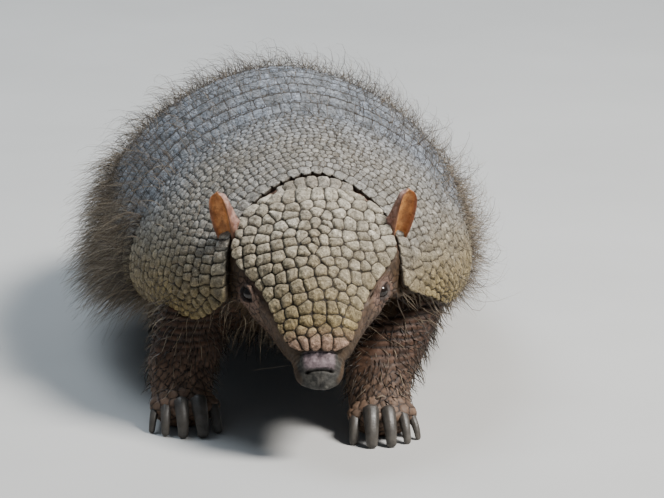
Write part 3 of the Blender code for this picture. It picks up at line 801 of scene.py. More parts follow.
def ring_seeds(path, pitch, width, arc=(0.0, 1.0)):
    """Seeds in rings round a run of (centre, half width, half height). arc is the share of
    the way round that they take, counted from the +X side."""
    centres = np.array([tuple(step[0]) for step in path])
    sizes = np.array([step[1:] for step in path])
    run = np.concatenate([[0], np.cumsum(np.linalg.norm(np.diff(centres, axis=0), axis=1))])
    out = []
    for j, at in enumerate(np.arange(pitch / 2, run[-1], pitch)):
        centre, ahead, behind = (
            np.array([np.interp(place, run, centres[:, k]) for k in range(3)])
            for place in (at, at + 0.002, at - 0.002)
        )
        wide, high = (np.interp(at, run, sizes[:, k]) for k in range(2))
        way = unit(ahead - behind)
        right = unit(np.array([1.0, 0, 0]) - way * way[0])
        other = np.cross(right, way)
        whole = math.tau * math.hypot(wide, high) / math.sqrt(2)
        count = max(int(round(whole / width * (arc[1] - arc[0]))), 2)
        angle = math.tau * (arc[0] + (arc[1] - arc[0]) * (np.arange(count) + 0.5 * (j % 2)) / count)
        cos, sin = np.cos(angle)[:, None], np.sin(angle)[:, None]
        out.append(centre + cos * right * wide + sin * other * high)
    return np.concatenate(out)


# ---- Skin ---------------------------------------------------------------------------------

FLESH = ("head", "neck", "trunk", "tail") + tuple(f"leg_{name}" for name in LEGS)
SWELL = 0.0004  # closes the thin gaps between the solids before they become one skin
HEAD_BACK = HEAD_FRAME.inverted()


def welded_flesh():
    """One mesh of all solids of flesh, each a little swollen, with the nape and a ball about
    each eye, in design coordinates."""
    made = bmesh.new()
    for name in FLESH:
        part = bmesh.new()
        part.from_mesh(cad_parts[name].data)
        bmesh.ops.remove_doubles(part, verts=part.verts, dist=0.00002)
        part.normal_update()
        for vert in part.verts:
            vert.co += vert.normal * SWELL
        mesh = bpy.data.meshes.new("part")
        part.to_mesh(mesh)
        part.free()
        made.from_mesh(mesh)
        bpy.data.meshes.remove(mesh)
    made.from_mesh(nape_mesh())
    for side in (1, -1):
        place = Matrix.Translation(SHIFT) @ HEAD_FRAME @ Matrix.Translation(at_side(EYE, side))
        bmesh.ops.create_uvsphere(
            made, u_segments=24, v_segments=16, radius=EYE_RADIUS + SOCKET, matrix=place,
        )
    mesh = bpy.data.meshes.new("skin")
    made.to_mesh(mesh)
    made.free()
    mesh.transform(Matrix.Translation(-SHIFT))
    return mesh


def nape_mesh():
    """The soft nape that swells out from under the scapular shield, and the throat's sides."""
    arch = np.linspace(0.80, -0.80, 34)
    front = lobes_front(arch) + LEFT_CORNER * between(arch, LEFT_FROM, LEFT_TO)
    top = fades(np.abs(arch), 0.48, 0.68)
    rings = []
    # How far each ring is ahead of the shield's edge, and how deep on the back and on the sides.
    for ahead, depth, deeper in (
        (0.024, 0.0090, 0.0100), (0.016, 0.0030, 0.0075), (0.010, 0.0006, 0.0058),
        (0.005, 0.0004, 0.0048), (0.0018, 0.0004, 0.0042), (-0.0015, 0.0024, 0.0036),
        (-0.012, 0.0038, 0.0038), (-0.024, 0.0040, 0.0040),
    ):
        y = front - (ahead * top if ahead > 0 else ahead)
        over = shell_points(y, arch, depth * top + deeper * (1 - top))
        under = over[::-1][::2] * [0.8, 1, 0] + [0, 0, 0.058]
        rings.append(np.concatenate([over, under]))
    thing = loft_points("nape", np.array(rings))
    mesh = thing.data
    bpy.data.objects.remove(thing)
    return mesh


def relaxed(points, edges, rounds):
    """Points moved towards their neighbours' middle and partly back, so that the form stays."""
    count = np.bincount(edges.ravel(), minlength=len(points))[:, None]
    for i in range(rounds * 2):
        total = np.zeros_like(points)
        for axis in range(3):
            total[:, axis] = np.bincount(
                np.concatenate([edges[:, 0], edges[:, 1]]),
                np.concatenate([points[edges[:, 1], axis], points[edges[:, 0], axis]]),
                minlength=len(points),
            )
        points = points + (total / np.maximum(count, 1) - points) * (0.55 if i % 2 == 0 else -0.50)
    return points


def mesh_arrays(mesh):
    points = np.empty(len(mesh.vertices) * 3)
    mesh.vertices.foreach_get("co", points)
    edges = np.empty(len(mesh.edges) * 2, np.int32)
    mesh.edges.foreach_get("vertices", edges)
    return points.reshape(-1, 3), edges.reshape(-1, 2)


def tree_of(mesh):
    """A mesh as a tree to find its nearest places in."""
    faces = [tuple(f.vertices) for f in mesh.polygons]
    return BVHTree.FromPolygons([tuple(v.co) for v in mesh.vertices], faces)


def mesh_normals(mesh):
    normals = np.empty(len(mesh.vertices) * 3)
    mesh.vertex_normals.foreach_get("vector", normals)
    return normals.reshape(-1, 3)


def set_points(mesh, points):
    mesh.vertices.foreach_set("co", np.asarray(points, np.float32).ravel())
    mesh.update()


def refine(mesh, wanted):
    """Halves the edges that have both ends wanted, and divides the faces beside them."""
    with editing(mesh) as made:
        made.verts.ensure_lookup_table()
        edges = [e for e in made.edges if wanted[e.verts[0].index] and wanted[e.verts[1].index]]
        bmesh.ops.subdivide_edges(made, edges=edges, cuts=1, use_grid_fill=True)
        bmesh.ops.triangulate(made, faces=[f for f in made.faces if len(f.verts) > 4])


def on_head_of(head):
    """Which points, in the head's frame, belong to the head."""
    x, y, z = head.T
    return (y < -0.006) & (np.abs(x) < head_half(y) + 0.004) & (z > jaw(y) - 0.003)


def leg_share(points):
    """How far a point is on a leg rather than on the trunk, from 0 to 1."""
    best = np.full(len(points), 9.0)
    for limb, foot, _, _ in LEGS.values():
        for path in (limb, foot):
            for (a, wide, high), (b, wide2, high2) in zip(path, path[1:]):
                a, b = np.array(tuple(a)), np.array(tuple(b))
                t = np.clip(((points - a) @ (b - a)) / ((b - a) @ (b - a)), 0, 1)
                radius = (wide + high) / 2 * (1 - t) + (wide2 + high2) / 2 * t
                away = np.linalg.norm(points - a - t[:, None] * (b - a), axis=1)
                best = np.minimum(best, away / radius)
    return fades(best, 1.15, 1.45) * fades(points[:, 2], 0.046, 0.060)


def scattered(points, wanted, apart, seed, taken=()):
    """Wanted points picked so that none is nearer than apart to another, or to one taken."""
    rng = np.random.default_rng(seed)
    grid, picked = {}, []

    def near(p):
        i, j, k = (int(math.floor(c / apart)) for c in p)
        for a in (-1, 0, 1):
            for b in (-1, 0, 1):
                for c in (-1, 0, 1):
                    for q in grid.get((i + a, j + b, k + c), ()):
                        if (p[0] - q[0]) ** 2 + (p[1] - q[1]) ** 2 + (p[2] - q[2]) ** 2 < apart * apart:
                            return True
        return False

    def put(p):
        grid.setdefault(tuple(int(math.floor(c / apart)) for c in p), []).append(p)

    for p in taken:
        put(tuple(p))
    order = np.nonzero(wanted)[0]
    rng.shuffle(order)
    for i in order:
        p = tuple(points[i])
        if not near(p):
            put(p)
            picked.append(p)
    return np.array(picked)


def on_surface(tree, points):
    """Each point moved to the nearest place of the surface, or left out if that is 6 mm away."""
    out = []
    for p in points:
        place, _, _, away = tree.find_nearest(Vector(p))
        if place is not None and away < 0.006:
            out.append(place)
    return np.array(out)


def one_surface():
    """The flesh as one smooth surface, finer on the face, legs and tail, and finest at the
    eyes and the muzzle."""
    thing = shown("skin", welded_flesh())
    step = thing.modifiers.new("one_surface", "REMESH")
    step.mode = "VOXEL"
    step.voxel_size = VOXEL
    graph = bpy.context.evaluated_depsgraph_get()
    mesh = bpy.data.meshes.new_from_object(thing.evaluated_get(graph))
    thing.modifiers.clear()
    with editing(mesh) as made:
        keep_largest(made)
    thing.data = mesh
    mesh.name = "skin"
    set_points(mesh, relaxed(*mesh_arrays(mesh), 14))

    for level in range(2):
        points, _ = mesh_arrays(mesh)
        head = moved(points, HEAD_BACK)
        face = (head[:, 1] < -0.008) & (head[:, 1] > -0.11) & (head[:, 2] > -0.043)
        face &= np.abs(head[:, 0]) < 0.036
        if level == 0:
            legs = (points[:, 2] < 0.052) & (np.abs(points[:, 0]) > 0.010)
            legs &= ~((points[:, 1] > -0.03) & (points[:, 1] < 0.035))
            tail = points[:, 1] > 0.172
            refine(mesh, face | legs | tail)
        else:
            eyes = np.zeros(len(points), bool)
            for side in (1, -1):
                eyes |= np.linalg.norm(head - at_side(EYE, side), axis=1) < 0.0095
            refine(mesh, eyes | (face & (head[:, 1] < -0.080)))
        set_points(mesh, relaxed(*mesh_arrays(mesh), 2))
    return thing


def scale_seeds(mesh, points, on_head):
    """The middles of the skin's scales: in rings on the legs and the tail, and scattered on
    the rest, where those of the head are the smallest."""
    rough = []
    for limb, foot, _, _ in LEGS.values():
        rough.append(ring_seeds(limb, 0.0022, 0.0048))
        rough.append(ring_seeds(foot, 0.0034, 0.0038, (-0.02, 0.52)))
    tail_run = []
    for t in np.linspace(0, 1, 9):
        radius = 0.0125 * (1 - t) + 0.0036 * t
        middle = (0.012 * t * t, 0.158 + 0.128 * t, 0.044 - 0.052 * t + 0.028 * t * t)
        tail_run.append((middle, radius, radius * 0.94))
    rough.append(ring_seeds(tail_run, 0.0042, 0.0040))
    seeds = on_surface(tree_of(mesh), np.concatenate(rough))
    seeds = scattered(seeds, np.ones(len(seeds), bool), 0.0017, seed=6)
    fill = scattered(points, ~on_head, 0.0034, seed=7, taken=seeds)
    cheeks = scattered(points, on_head, 0.0024, seed=8, taken=np.concatenate([seeds, fill]))
    return np.concatenate([seeds, fill, cheeks])


def make_skin():
    thing = one_surface()
    mesh = thing.data
    points, _ = mesh_arrays(mesh)
    head = moved(points, HEAD_BACK)
    on_head = on_head_of(head)
    seeds = scale_seeds(mesh, points, on_head)
    warped = points + 0.0003 * np.stack([layered(points, 0.003, 70 + k) for k in range(3)], axis=1)
    cell, border = cells(warped, seeds)
    rise = 1 - (1 - np.clip(border / 0.0008, 0, 1)) ** 2
    rng = np.random.default_rng(9)
    tone = rng.uniform(-1, 1, len(seeds))[cell]

    normals = mesh_normals(mesh)
    x, y, z = points.T
    tail = between(y, 0.168, 0.178)
    legs = np.maximum(leg_share(points) * (~on_head), (z < 0.022) * 1.0)
    sole = fades(z, 0.0012, 0.0030)
    _, hy, hz = head.T
    cheek = on_head * between(-hz, 0.005, 0.011) * fades(-hz, 0.026, 0.032)
    cheek = cheek * between(hy, -0.080, -0.060) * fades(hy, -0.018, -0.008)
    scaly = np.maximum(legs * (1 - 0.72 * between(z, 0.022, 0.036)), tail)
    scaly = np.maximum(scaly, cheek * 0.80) * (1 - sole)
    bump_size = np.where(on_head, 0.00042, 0.00056 - 0.00026 * between(z, 0.018, 0.034))
    height = scaly * bump_size * (rise - 0.55 + 0.10 * tone)
    height += 0.0004 * layered(points, 0.006, 77) * (1 - sole) * (1 - 0.6 * scaly)
    # Higher up, the legs' skin lies in folds across.
    folds = legs * between(z, 0.022, 0.036)
    swell = 0.5 + 0.5 * np.sin(z * math.tau / 0.0027 + 1.6 * layered(points, 0.008, 78) + 5 * x)
    height += folds * 0.00055 * (swell ** 0.7 - 0.6)

    # Soft folds across the neck.
    neck = between(y, -0.085, -0.065) * fades(y, -0.050, -0.035) * (z > 0.05)
    height += 0.0005 * neck * np.sin(y * math.tau / 0.0045)
    points = points + normals * height[:, None]

    head = moved(points, HEAD_BACK)
    # dark gathers painted shade: the eyes' slits and lid edges, and the muzzle's nostrils, folds, mouth
    # line and cleft.
    pink = dark = np.zeros(len(points))
    for side in (1, -1):
        head, lid_pink, lid_painted_shade = with_lids(head, side)
        pink = np.maximum(pink, 0.46 * lid_pink)
        dark = np.maximum(dark, lid_painted_shade)
    head, nose, muzzle_painted_shade, pad = with_muzzle(head, normals @ np.array(HEAD_BACK.to_3x3()).T)
    pink = pink * (1 - nose)
    dark = np.maximum(dark, muzzle_painted_shade)
    head = under_plates(head)
    points = np.where(on_head[:, None], moved(head, HEAD_FRAME), points)
    pink, dark, nose, pad = pink * on_head, dark * on_head, nose * on_head, pad * on_head
    ear_root = np.minimum(*(np.linalg.norm(head - at_side(EAR_ROOT, side), axis=1) for side in (1, -1)))
    # The nape lies under the loose row of scutes.
    row = np.clip((points[:, 1] - SHELL_FRONT + NUCHAL_AHEAD) / NUCHAL_LONG, 0, 1)
    low = nuchal_height(points[:, 0] / NUCHAL_HALF, row) - 0.0018
    near = fades(np.abs(points[:, 0]), 0.0155, 0.0185)
    near = near * (np.abs(points[:, 1] - SHELL_FRONT + 0.0034) < 0.0055)
    points[:, 2] -= near * np.maximum(points[:, 2] - low, 0) * (points[:, 2] > 0.085)
    upper = between(points[:, 2], 0.080, 0.090) * (points[:, 1] < -0.03)
    pink = np.maximum(pink, 0.9 * upper)
    pink = np.maximum(pink, 0.6 * fades(ear_root, 0.005, 0.011))
    points[:, 2] = np.maximum(points[:, 2], 0.0)
    set_points(mesh, points + np.array(SHIFT))
    mesh.shade_smooth()
    # Painted shade: the troughs of the legs' folds are darkened through cover.
    grooves = 1 - folds * 0.75 * fades(swell, 0.0, 0.45)
    pale_feet = legs * fades(z, 0.016, 0.034) * between(z, 0.0, 0.003)
    values = {
        "cover": np.minimum(1 - scaly * (1 - rise), grooves),
        "tone": tone * np.clip(scaly + 0.2, 0, 1),
        "red": np.clip(legs + 0.25 * tail, 0, 1),
        "tan": np.maximum(pale_feet, 0.75 * cheek * hill(hy, -0.058, 0.011)),
        "pink": pink, "dark": dark, "nose": nose, "pad": pad,
    }
    set_values(mesh, values)
    wear(thing, skin_material())
    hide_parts(*FLESH)
    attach(thing, "root")
    return thing


def keep_largest(made):
    """Deletes all but the largest connected body."""
    left = set(made.verts)
    bodies = []
    while left:
        body, edge = set(), [left.pop()]
        while edge:
            vert = edge.pop()
            body.add(vert)
            near = {e.other_vert(vert) for e in vert.link_edges} & left
            left -= near
            edge.extend(near)
        bodies.append(body)
    biggest = max(bodies, key=len)
    bmesh.ops.delete(made, geom=[v for v in made.verts if v not in biggest], context="VERTS")


EYE_OUT = (0.68, -0.40, 0.61)  # the way an eye faces, in the head's frame, on the left side
EYE_ALONG = (-0.55, -1.0, 0.0)  # the way the slit between the lids runs, to the nose
SLIT_HALF, SLIT_LENGTH = 0.0023, 0.0046


def eye_axes(side):
    out, along = unit(at_side(EYE_OUT, side)), at_side(EYE_ALONG, side)
    along = unit(along - out * along.dot(out))
    return out, along, np.cross(out, along) * side


def with_lids(head, side):
    """Two heavy lids over the eyeball, open in a narrow slit, with folds round them."""
    out, along, across = eye_axes(side)
    centre = at_side(EYE, side)
    q = head - centre
    r = np.linalg.norm(q, axis=1)
    a, b, d = q @ along, q @ across, q @ out
    s = np.hypot(a * 0.75, b)
    near = (d > -0.0005) * (r < 0.0105)
    open_half = SLIT_HALF * np.clip(1 - (np.abs(a) / SLIT_LENGTH) ** 2, 0, 1)
    beside = np.abs(b) - open_half
    slit = fades(beside, -0.00025, 0.00015) * (open_half > 0.0001) * near
    ball = near * fades(s, 0.0038, 0.0064)
    r2 = r + (np.maximum(r, EYE_RADIUS + LID) - r) * ball
    rim_up = hill(beside, 0.0005, 0.0004) * fades(np.abs(a), 0.0036, 0.0046)
    folds = np.sin((beside + 0.18 * np.abs(a)) * math.tau / 0.00125) * between(beside, 0.0009, 0.0016)
    folds = folds * fades(s, 0.0062, 0.0090)
    r2 = r2 + near * (0.00040 * rim_up + 0.00036 * folds)
    r2 = r2 - (r2 - (EYE_RADIUS - SOCKET)) * slit
    pink = near * fades(s, 0.0044, 0.0074)
    # Painted shade: the slit and a narrow band along the lids' edges beside it are darkened.
    shadow = 0.8 * hill(np.maximum(beside, 0), 0, 0.0005) * near * (np.abs(a) < 0.0045)
    dark = np.maximum(slit, shadow)
    return centre + q * (r2 / np.maximum(r, 1e-6))[:, None], pink, dark


def under_plates(head):
    """Keeps the skin under the head shield."""
    x, y, z = head.T
    half = plate_half(y)
    under = crown(y) - plate_fall(y) * np.minimum(np.abs(x) / half, 1) ** 2 - 0.0022
    inside = fades(np.abs(x) - half, 0.0, 0.0012)
    inside = inside * (y > PLATE_FRONT + 0.0004) * (y < PLATE_BACK) * (z > -0.02)
    return head - np.stack([0 * x, 0 * x, np.maximum(z - under, 0) * inside], axis=1)


def with_muzzle(head, normals):
    """The nose pad with its two nostrils, the lip under it and the line of the mouth.

    The numbers are places in the head's frame, where the snout's tip is at -Y.
    """
    narrow = fades(head[:, 1], -0.0840, -0.0740)
    slim = between(head[:, 1], -0.0890, -0.0790) * fades(head[:, 1], -0.0640, -0.0520)
    head = head * (1 - (0.06 * narrow + 0.11 * slim)[:, None] * [1.0, 0.0, 0.0])
    below = narrow * np.maximum(-0.012 - head[:, 2], 0)
    head[:, 1:] += np.stack([0.38 * below, 0.34 * below], axis=1)
    x, y, z = head.T
    front = fades(y, -0.0850, -0.0800)
    # The pad is a flat oval on the top of the tip; a fold with the nostrils closes it in front.
    fold_y = -0.0869 - 12 * x * x
    pad = between(y, fold_y, fold_y + 0.0008) * fades(np.abs(x), 0.0064, 0.0080)
    pad = pad * between(z, -0.0105, -0.0080) * fades(y, -0.0815, -0.0795)
    fold = hill(y - fold_y, -0.0004, 0.00030) * fades(np.abs(x), 0.0044, 0.0064)
    fold = fold * between(z, -0.0130, -0.0105)
    nostril = np.exp(-(((np.abs(x) - 0.0046) / 0.0008) ** 2 + ((y - fold_y + 0.0003) / 0.0006) ** 2))
    nostril = nostril * between(z, -0.0135, -0.0105)
    corner = ((np.abs(x) - 0.0074) / 0.0012) ** 2 + ((y - fold_y - 0.0012) / 0.0015) ** 2
    corner = np.exp(-corner) * front
    lump = np.exp(-((x / 0.0065) ** 2 + ((z + 0.0140) / 0.0040) ** 2)) * (y < -0.084)
    cleft = hill(x, 0, 0.0005) * (y < -0.0885) * fades(z, -0.0105, -0.0090)
    cleft = cleft * between(z, -0.0195, -0.0175)
    line_z = -0.0160 - 0.0048 * between(y, -0.0920, -0.0760) - 0.0032 * between(y, -0.0760, -0.0560)
    line = hill(z, line_z, 0.00050) * fades(y, -0.0600, -0.0540)
    chin = hill(z - line_z, -0.0022, 0.0014) * fades(y, -0.0640, -0.0560)
    push = 0.0007 * pad - 0.0007 * fold - 0.0010 * nostril + 0.0013 * lump - 0.0002 * cleft
    push = push - 0.0008 * line + 0.0004 * chin
    wrinkle = np.sin((y + 0.10) * math.tau / 0.0017 + 2 * np.abs(x) / 0.004) * 0.00012
    push = push + wrinkle * between(y, -0.088, -0.084) * fades(y, -0.074, -0.066) * (z < -0.008)
    # Painted shade: the nostrils, the fold in front of the pad, the mouth's corners, the mouth's line
    # and the cleft are darkened.
    dark = np.maximum.reduce([nostril, 0.85 * fold, 0.7 * corner, 0.7 * line, 0.35 * cleft])
    broad = 0.0030 * between(z, -0.0122, -0.0095)
    nose = front * fades(np.abs(x) - broad, 0.0055, 0.0085) * between(z, -0.0205, -0.0185)
    pale = pad * fades(np.abs(x), 0.0052, 0.0068) * (1 - 0.8 * fold)
    return head + normals * push[:, None], np.clip(nose + pad, 0, 1), np.clip(dark, 0, 1), pale


def skin_material():
    m = Nodes("skin", 0.6, 0.3)
    face = m.mottled(220, (0.022, 0.013, 0.0065), (0.062, 0.039, 0.021))
    for key, *look in (
        ("red", 240, (0.022, 0.012, 0.008), (0.078, 0.040, 0.024)),
        ("tan", 200, (0.050, 0.030, 0.020), (0.150, 0.100, 0.070)),
        ("pink", 260, (0.120, 0.072, 0.055), (0.26, 0.170, 0.140)),
        ("nose", 420, (0.014, 0.014, 0.013), (0.058, 0.056, 0.050), 4, 0.35, 0.65),
        ("pad", 520, (0.070, 0.052, 0.058), (0.215, 0.170, 0.185), 4, 0.35, 0.65),
    ):
        face = m.mix(m.value(key), face, m.mottled(*look))
    tone = m.spread(m.value("tone"), -1, 1, 0.0, 0.8)
    face = m.mix(tone, face, m.times(face, (1.5, 1.42, 1.34)))
    # cover is low in the dark borders between scales, and in the legs' fold troughs as painted shade.
    cover = m.maths("ADD", m.value("cover"), m.spread(m.noise(800, 2), 0.2, 0.8, -0.1, 0.1))
    face = m.mix(m.spread(cover, 0.25, 0.85), (0.018, 0.011, 0.008), face)
    # dark is painted shade in the eyes' slits and the muzzle's openings and creases.
    m.colour(m.mix(m.value("dark"), face, (0.012, 0.008, 0.007)))
    m.rough(m.spread(m.noise(600, 3), 0.3, 0.7, 0.48, 0.72))
    m.bump((m.noise(900, 5, 0.7), 0.5, 0.0004), (m.pits(700), 0.3, 0.0003))
    return m


# ---- Eyes, ears, claws and the nape -------------------------------------------------------


def loft_points(name, rings, **values):
    """A closed mesh through rings (R, C, 3) of points, its ends drawn to their middles."""
    rows, columns = rings.shape[:2]
    r, c = np.meshgrid(np.arange(rows - 1), np.arange(columns), indexing="ij")
    a, b = (r * columns + c).ravel(), (r * columns + (c + 1) % columns).ravel()
    faces = np.stack([a, b, b + columns, a + columns], axis=1).tolist()
    points = np.concatenate([rings.reshape(-1, 3), [rings[0].mean(0), rings[-1].mean(0)]])
    low, high = rows * columns, rows * columns + 1
    for i in range(columns):
        j = (i + 1) % columns
        faces.append((j, i, low))
        faces.append(((rows - 1) * columns + i, (rows - 1) * columns + j, high))
    ended = {key: np.concatenate([v.ravel(), [v[0].mean(), v[-1].mean()]]) for key, v in values.items()}
    return new_mesh(name, points, faces, ended, outwards=True)


def make_eye(side, name):
    """An eyeball with the cornea's bulge in front."""
    out, along, across = eye_axes(side)
    turn = np.linspace(0, math.pi, 25)[1:-1]
    around = np.linspace(0, math.tau, 32, endpoint=False)
    bulge = 0.0004 * hill(turn, 0, 0.55)
    radius = EYE_RADIUS - 0.0001 + bulge
    ring = np.cos(around)[:, None] * along + np.sin(around)[:, None] * across
    rings = (radius * np.cos(turn))[:, None, None] * out + (radius * np.sin(turn))[:, None, None] * ring
    rings = rings + at_side(EYE, side)
    iris = np.broadcast_to(np.exp(-(turn / 0.52) ** 6)[:, None], rings.shape[:2])
    shape = rings.shape
    rings = moved(rings.reshape(-1, 3), HEAD_FRAME).reshape(shape)
    thing = loft_points(f"eyeball_{name}", rings, iris=iris)
    m = Nodes(f"eye_{name}", 0.14, 0.5)
    white = m.mottled(900, (0.016, 0.010, 0.008), (0.034, 0.023, 0.017), 4)
    dark = m.mottled(1500, (0.006, 0.004, 0.003), (0.016, 0.010, 0.007), 4)
    m.colour(m.mix(m.value("iris"), white, dark))
    wear(thing, m)
    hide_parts(f"eye_{name}")
    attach(thing, "root")


def ear_matrix(side):
    lean = Matrix.Rotation(side * EAR_LEAN, 4, "Y")
    turn = Matrix.Rotation(side * EAR_TURN, 4, "Z")
    back = Matrix.Rotation(-EAR_BACK, 4, "X")
    root = Matrix.Translation(at_side(EAR_ROOT, side))
    return HEAD_FRAME @ root @ lean @ back @ turn


EAR_LEAF = 0.0082  # the width of the hollow between its two rims
EAR_WEB = 0.0064  # beyond the inner rim, a web of skin runs back to the head
ear_half = through(
    (-0.2, 0.10), (-0.1, 0.16), (0.0, 0.28), (0.12, 0.48), (0.28, 0.76), (0.48, 0.96),
    (0.66, 1.0), (0.80, 0.96), (0.90, 0.84), (0.96, 0.64), (0.985, 0.44), (1.0, 0.10),
)
ear_web = through(
    (-0.2, 0.60), (0.0, 0.84), (0.14, 1.0), (0.26, 0.92), (0.38, 0.64), (0.50, 0.36),
    (0.64, 0.17), (0.80, 0.06), (1.0, 0.0),
)


def make_ear(side, name, material):
    """A deep leaf with a thick rim, whose inner rim rounds into a web of skin behind it."""
    v = np.linspace(-0.2, 1.0, 56)[:, None]
    angle = np.linspace(0, math.tau, 72, endpoint=False)[None, :]
    outer = side * np.cos(angle) * np.ones_like(v)  # 1 at the outer edge, -1 at the web's edge
    face = np.sin(angle) * np.ones_like(v)  # -1 is the hollow side, which looks forwards
    wide = EAR_LEAF / 2 * ear_half(v) * np.ones_like(outer)
    # The leaf takes the outer share of the section, and the web the rest.
    leaf = np.maximum((outer + 0.5) / 0.75 - 1, -1)
    web = np.clip((-0.5 - outer) / 0.5, 0, 1)
    reach = EAR_WEB * ear_web(v) + 0.0002
    rim = hill(np.abs(leaf), 1, 0.20) * fades(web, 0.0, 0.35)
    x = side * (wide * leaf - reach * (1 - (1 - web) ** 1.6))
    deep = 0.62 * wide
    y = -deep * np.abs(leaf) ** 2.4 + (deep + 0.7 * reach) * between(web, -0.25, 1.0)
    y = y - (deep + 0.7 * reach) * between(0.0, -0.25, 1.0)
    thick = (0.00050 + 0.00045 * rim) * np.sqrt(np.abs(np.sin(angle)) + 0.02)
    y = y + np.sign(face) * thick
    z = EAR_LENGTH * v * (1 - 0.02 * leaf ** 2) * np.ones_like(x)
    points = np.stack([x, y, z], axis=-1)
    ripple = 0.00035 * layered(points + side, 0.004, 5) * (1 - 0.5 * rim)
    points[..., 1] += ripple + 0.00015 * np.sin(x / 0.0010) * np.clip(1 - v * 1.3, 0, 1)
    shape = points.shape
    hollow = np.clip(0.5 - 1.2 * face, 0, 1) * fades(web, 0.0, 0.3) * (1 - 0.6 * rim)
    points = moved(points.reshape(-1, 3), ear_matrix(side)).reshape(shape)
    thing = loft_points(
        f"ear_{name}_shell", points, hollow=hollow, rim=rim, web=between(web, 0.05, 0.40),
        up=v * np.ones_like(x),
    )
    wear(thing, material)
    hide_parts(f"ear_{name}")
    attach(thing, "root")


def ear_material():
    m = Nodes("ear", 0.55, 0.3)
    m.shader.inputs["Subsurface Weight"].default_value = 0.12
    m.shader.inputs["Subsurface Radius"].default_value = (0.004, 0.0015, 0.0008)
    m.shader.inputs["Subsurface Scale"].default_value = 1.0
    orange = m.mottled(420, (0.28, 0.105, 0.026), (0.58, 0.270, 0.085))
    back = m.mottled(420, (0.13, 0.065, 0.040), (0.27, 0.15, 0.10))
    pink = m.mottled(350, (0.17, 0.095, 0.070), (0.32, 0.19, 0.145), 4)
    web = m.mottled(300, (0.190, 0.100, 0.080), (0.46, 0.285, 0.235), 4, 0.4, 0.6)
    face = m.mix(m.value("hollow"), back, orange)
    face = m.mix(m.maths("MULTIPLY", m.value("rim"), 0.55), face, pink)
    face = m.mix(m.value("web"), face, web)
    mottle = m.spread(m.noise(330, 4, 0.7), 0.50, 0.60, 0.0, 0.55)
    face = m.mix(mottle, face, m.times(face, (0.42, 0.36, 0.32)))
    face = m.mix(m.spread(m.value("up"), 0.30, -0.10, 0.0, 0.6), face, (0.085, 0.045, 0.030))
    vein = m.spread(m.noise(160, 3), 0.54, 0.62, 0.0, 0.35)
    m.colour(m.mix(vein, face, (0.16, 0.055, 0.02)))
    m.bump((m.noise(900, 4), 0.4, 0.0003), (m.pits(1000), 0.25, 0.0002))
    return m


def make_claw(start, ahead, length, width, steep, name, material):
    """A curved claw: round above, flatter below, ridged along, blunt at the tip."""
    steps, sides = 22, 24
    place = np.array(start)
    rings, along = [], []
    angle = np.linspace(0, math.tau, sides, endpoint=False)
    ahead = np.array(ahead)
    right = np.cross(ahead, (0, 0, 1.0))
    for i in range(steps):
        t = i / (steps - 1)
        dip = math.radians(steep * (0.35 + 0.85 * t))
        way = ahead * math.cos(dip) - np.array([0, 0, math.sin(dip)])
        if i:
            place = place + way * length / (steps - 1)
        up = np.cross(right, way)
        end = math.sqrt(max(1 - max((t - 0.90) / 0.11, 0) ** 2, 0.02))
        wide = width / 2 * 1.18 * (1 - 0.38 * t) * end
        high = width * 0.60 * (1 - 0.66 * t) * end
        sin = np.sin(angle)
        section = np.where(sin > 0, sin, -0.62 * np.abs(sin) ** 0.6)
        groove = 1 - 0.030 * np.cos(angle * 7) - 0.012 * np.cos(angle * 13 + 2)
        sideways = (np.cos(angle) * wide * groove)[:, None] * right
        rings.append(place + sideways + (section * high * groove)[:, None] * up)
        along.append(np.full(sides, t))
    rings, along = np.array(rings), np.array(along)
    rings[..., 2] -= rings[..., 2].min()
    thing = loft_points(f"{name}_horn", rings, along=along)
    wear(thing, material)
    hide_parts(name)
    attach(thing, "root")


def claw_material():
    m = Nodes("claw", 0.38, 0.4)
    base = m.mottled(260, (0.028, 0.025, 0.022), (0.074, 0.067, 0.060))
    tip = m.mottled(320, (0.048, 0.043, 0.037), (0.118, 0.107, 0.093))
    face = m.mix(m.spread(m.value("along"), 0.15, 0.95), base, tip)
    stain = m.spread(m.noise(600, 3), 0.55, 0.70, 0.0, 0.6)
    m.colour(m.mix(stain, face, (0.05, 0.038, 0.028)))
    m.rough(m.spread(m.noise(700, 3), 0.3, 0.7, 0.30, 0.55))
    m.bump((m.noise(1200, 3), 0.35, 0.0002), (m.noise(300, 2), 0.3, 0.0004))
    return m


def make_claws():
    material = claw_material()
    for name, plan in LEGS.items():
        steep = 62 if name.startswith("fore") else 34
        for i, (root, ahead, reach, length, width) in enumerate(digit_runs(plan)):
            start = root + ahead * (reach * 0.82) + Vector((0.0, 0.0, 0.0012))
            make_claw(start, ahead, length, width, steep, f"claw_{name}_{i + 1}", material)


def make_nuchal(armour):
    """The loose row of scutes on the nape, between the two shields."""
    seeds = seed_rows(nuchal_curve, [0.5], 0.0046, jitter=0.10, seed=71)

    def look(points):
        # Blue here is partly painted sky light on this upward-facing row.
        level = {"blue": 0.4, "ochre": 0.05, "cream": 0.5, "pink": 0.05}
        return {key: np.full(len(points), share) for key, share in level.items()}

    thing = plate(
        "nuchal_scutes", sampled(nuchal_curve, 100, 24), seeds, look, thick=0.0014, flange=0.0008,
        tall=0.0008, groove=0.0009, scallop=0.0009, seed=72,
    )
    wear(thing, armour)
    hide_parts("nuchal_band")
    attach(thing, "root")


# ---- Hair ---------------------------------------------------------------------------------

# The space that hair is kept in: a little beyond the solids' box, and above the floor.
ROOM = [np.array(c) - np.array(SHIFT) for c in CAD_BOX]
SPARE = 0.0095 + 0.028 * (ROOM[1] - ROOM[0])
SPARE[0] = 0.0080
LOWEST, HIGHEST = ROOM[0] - SPARE, ROOM[1] + SPARE
LOWEST[2] = 0.0006


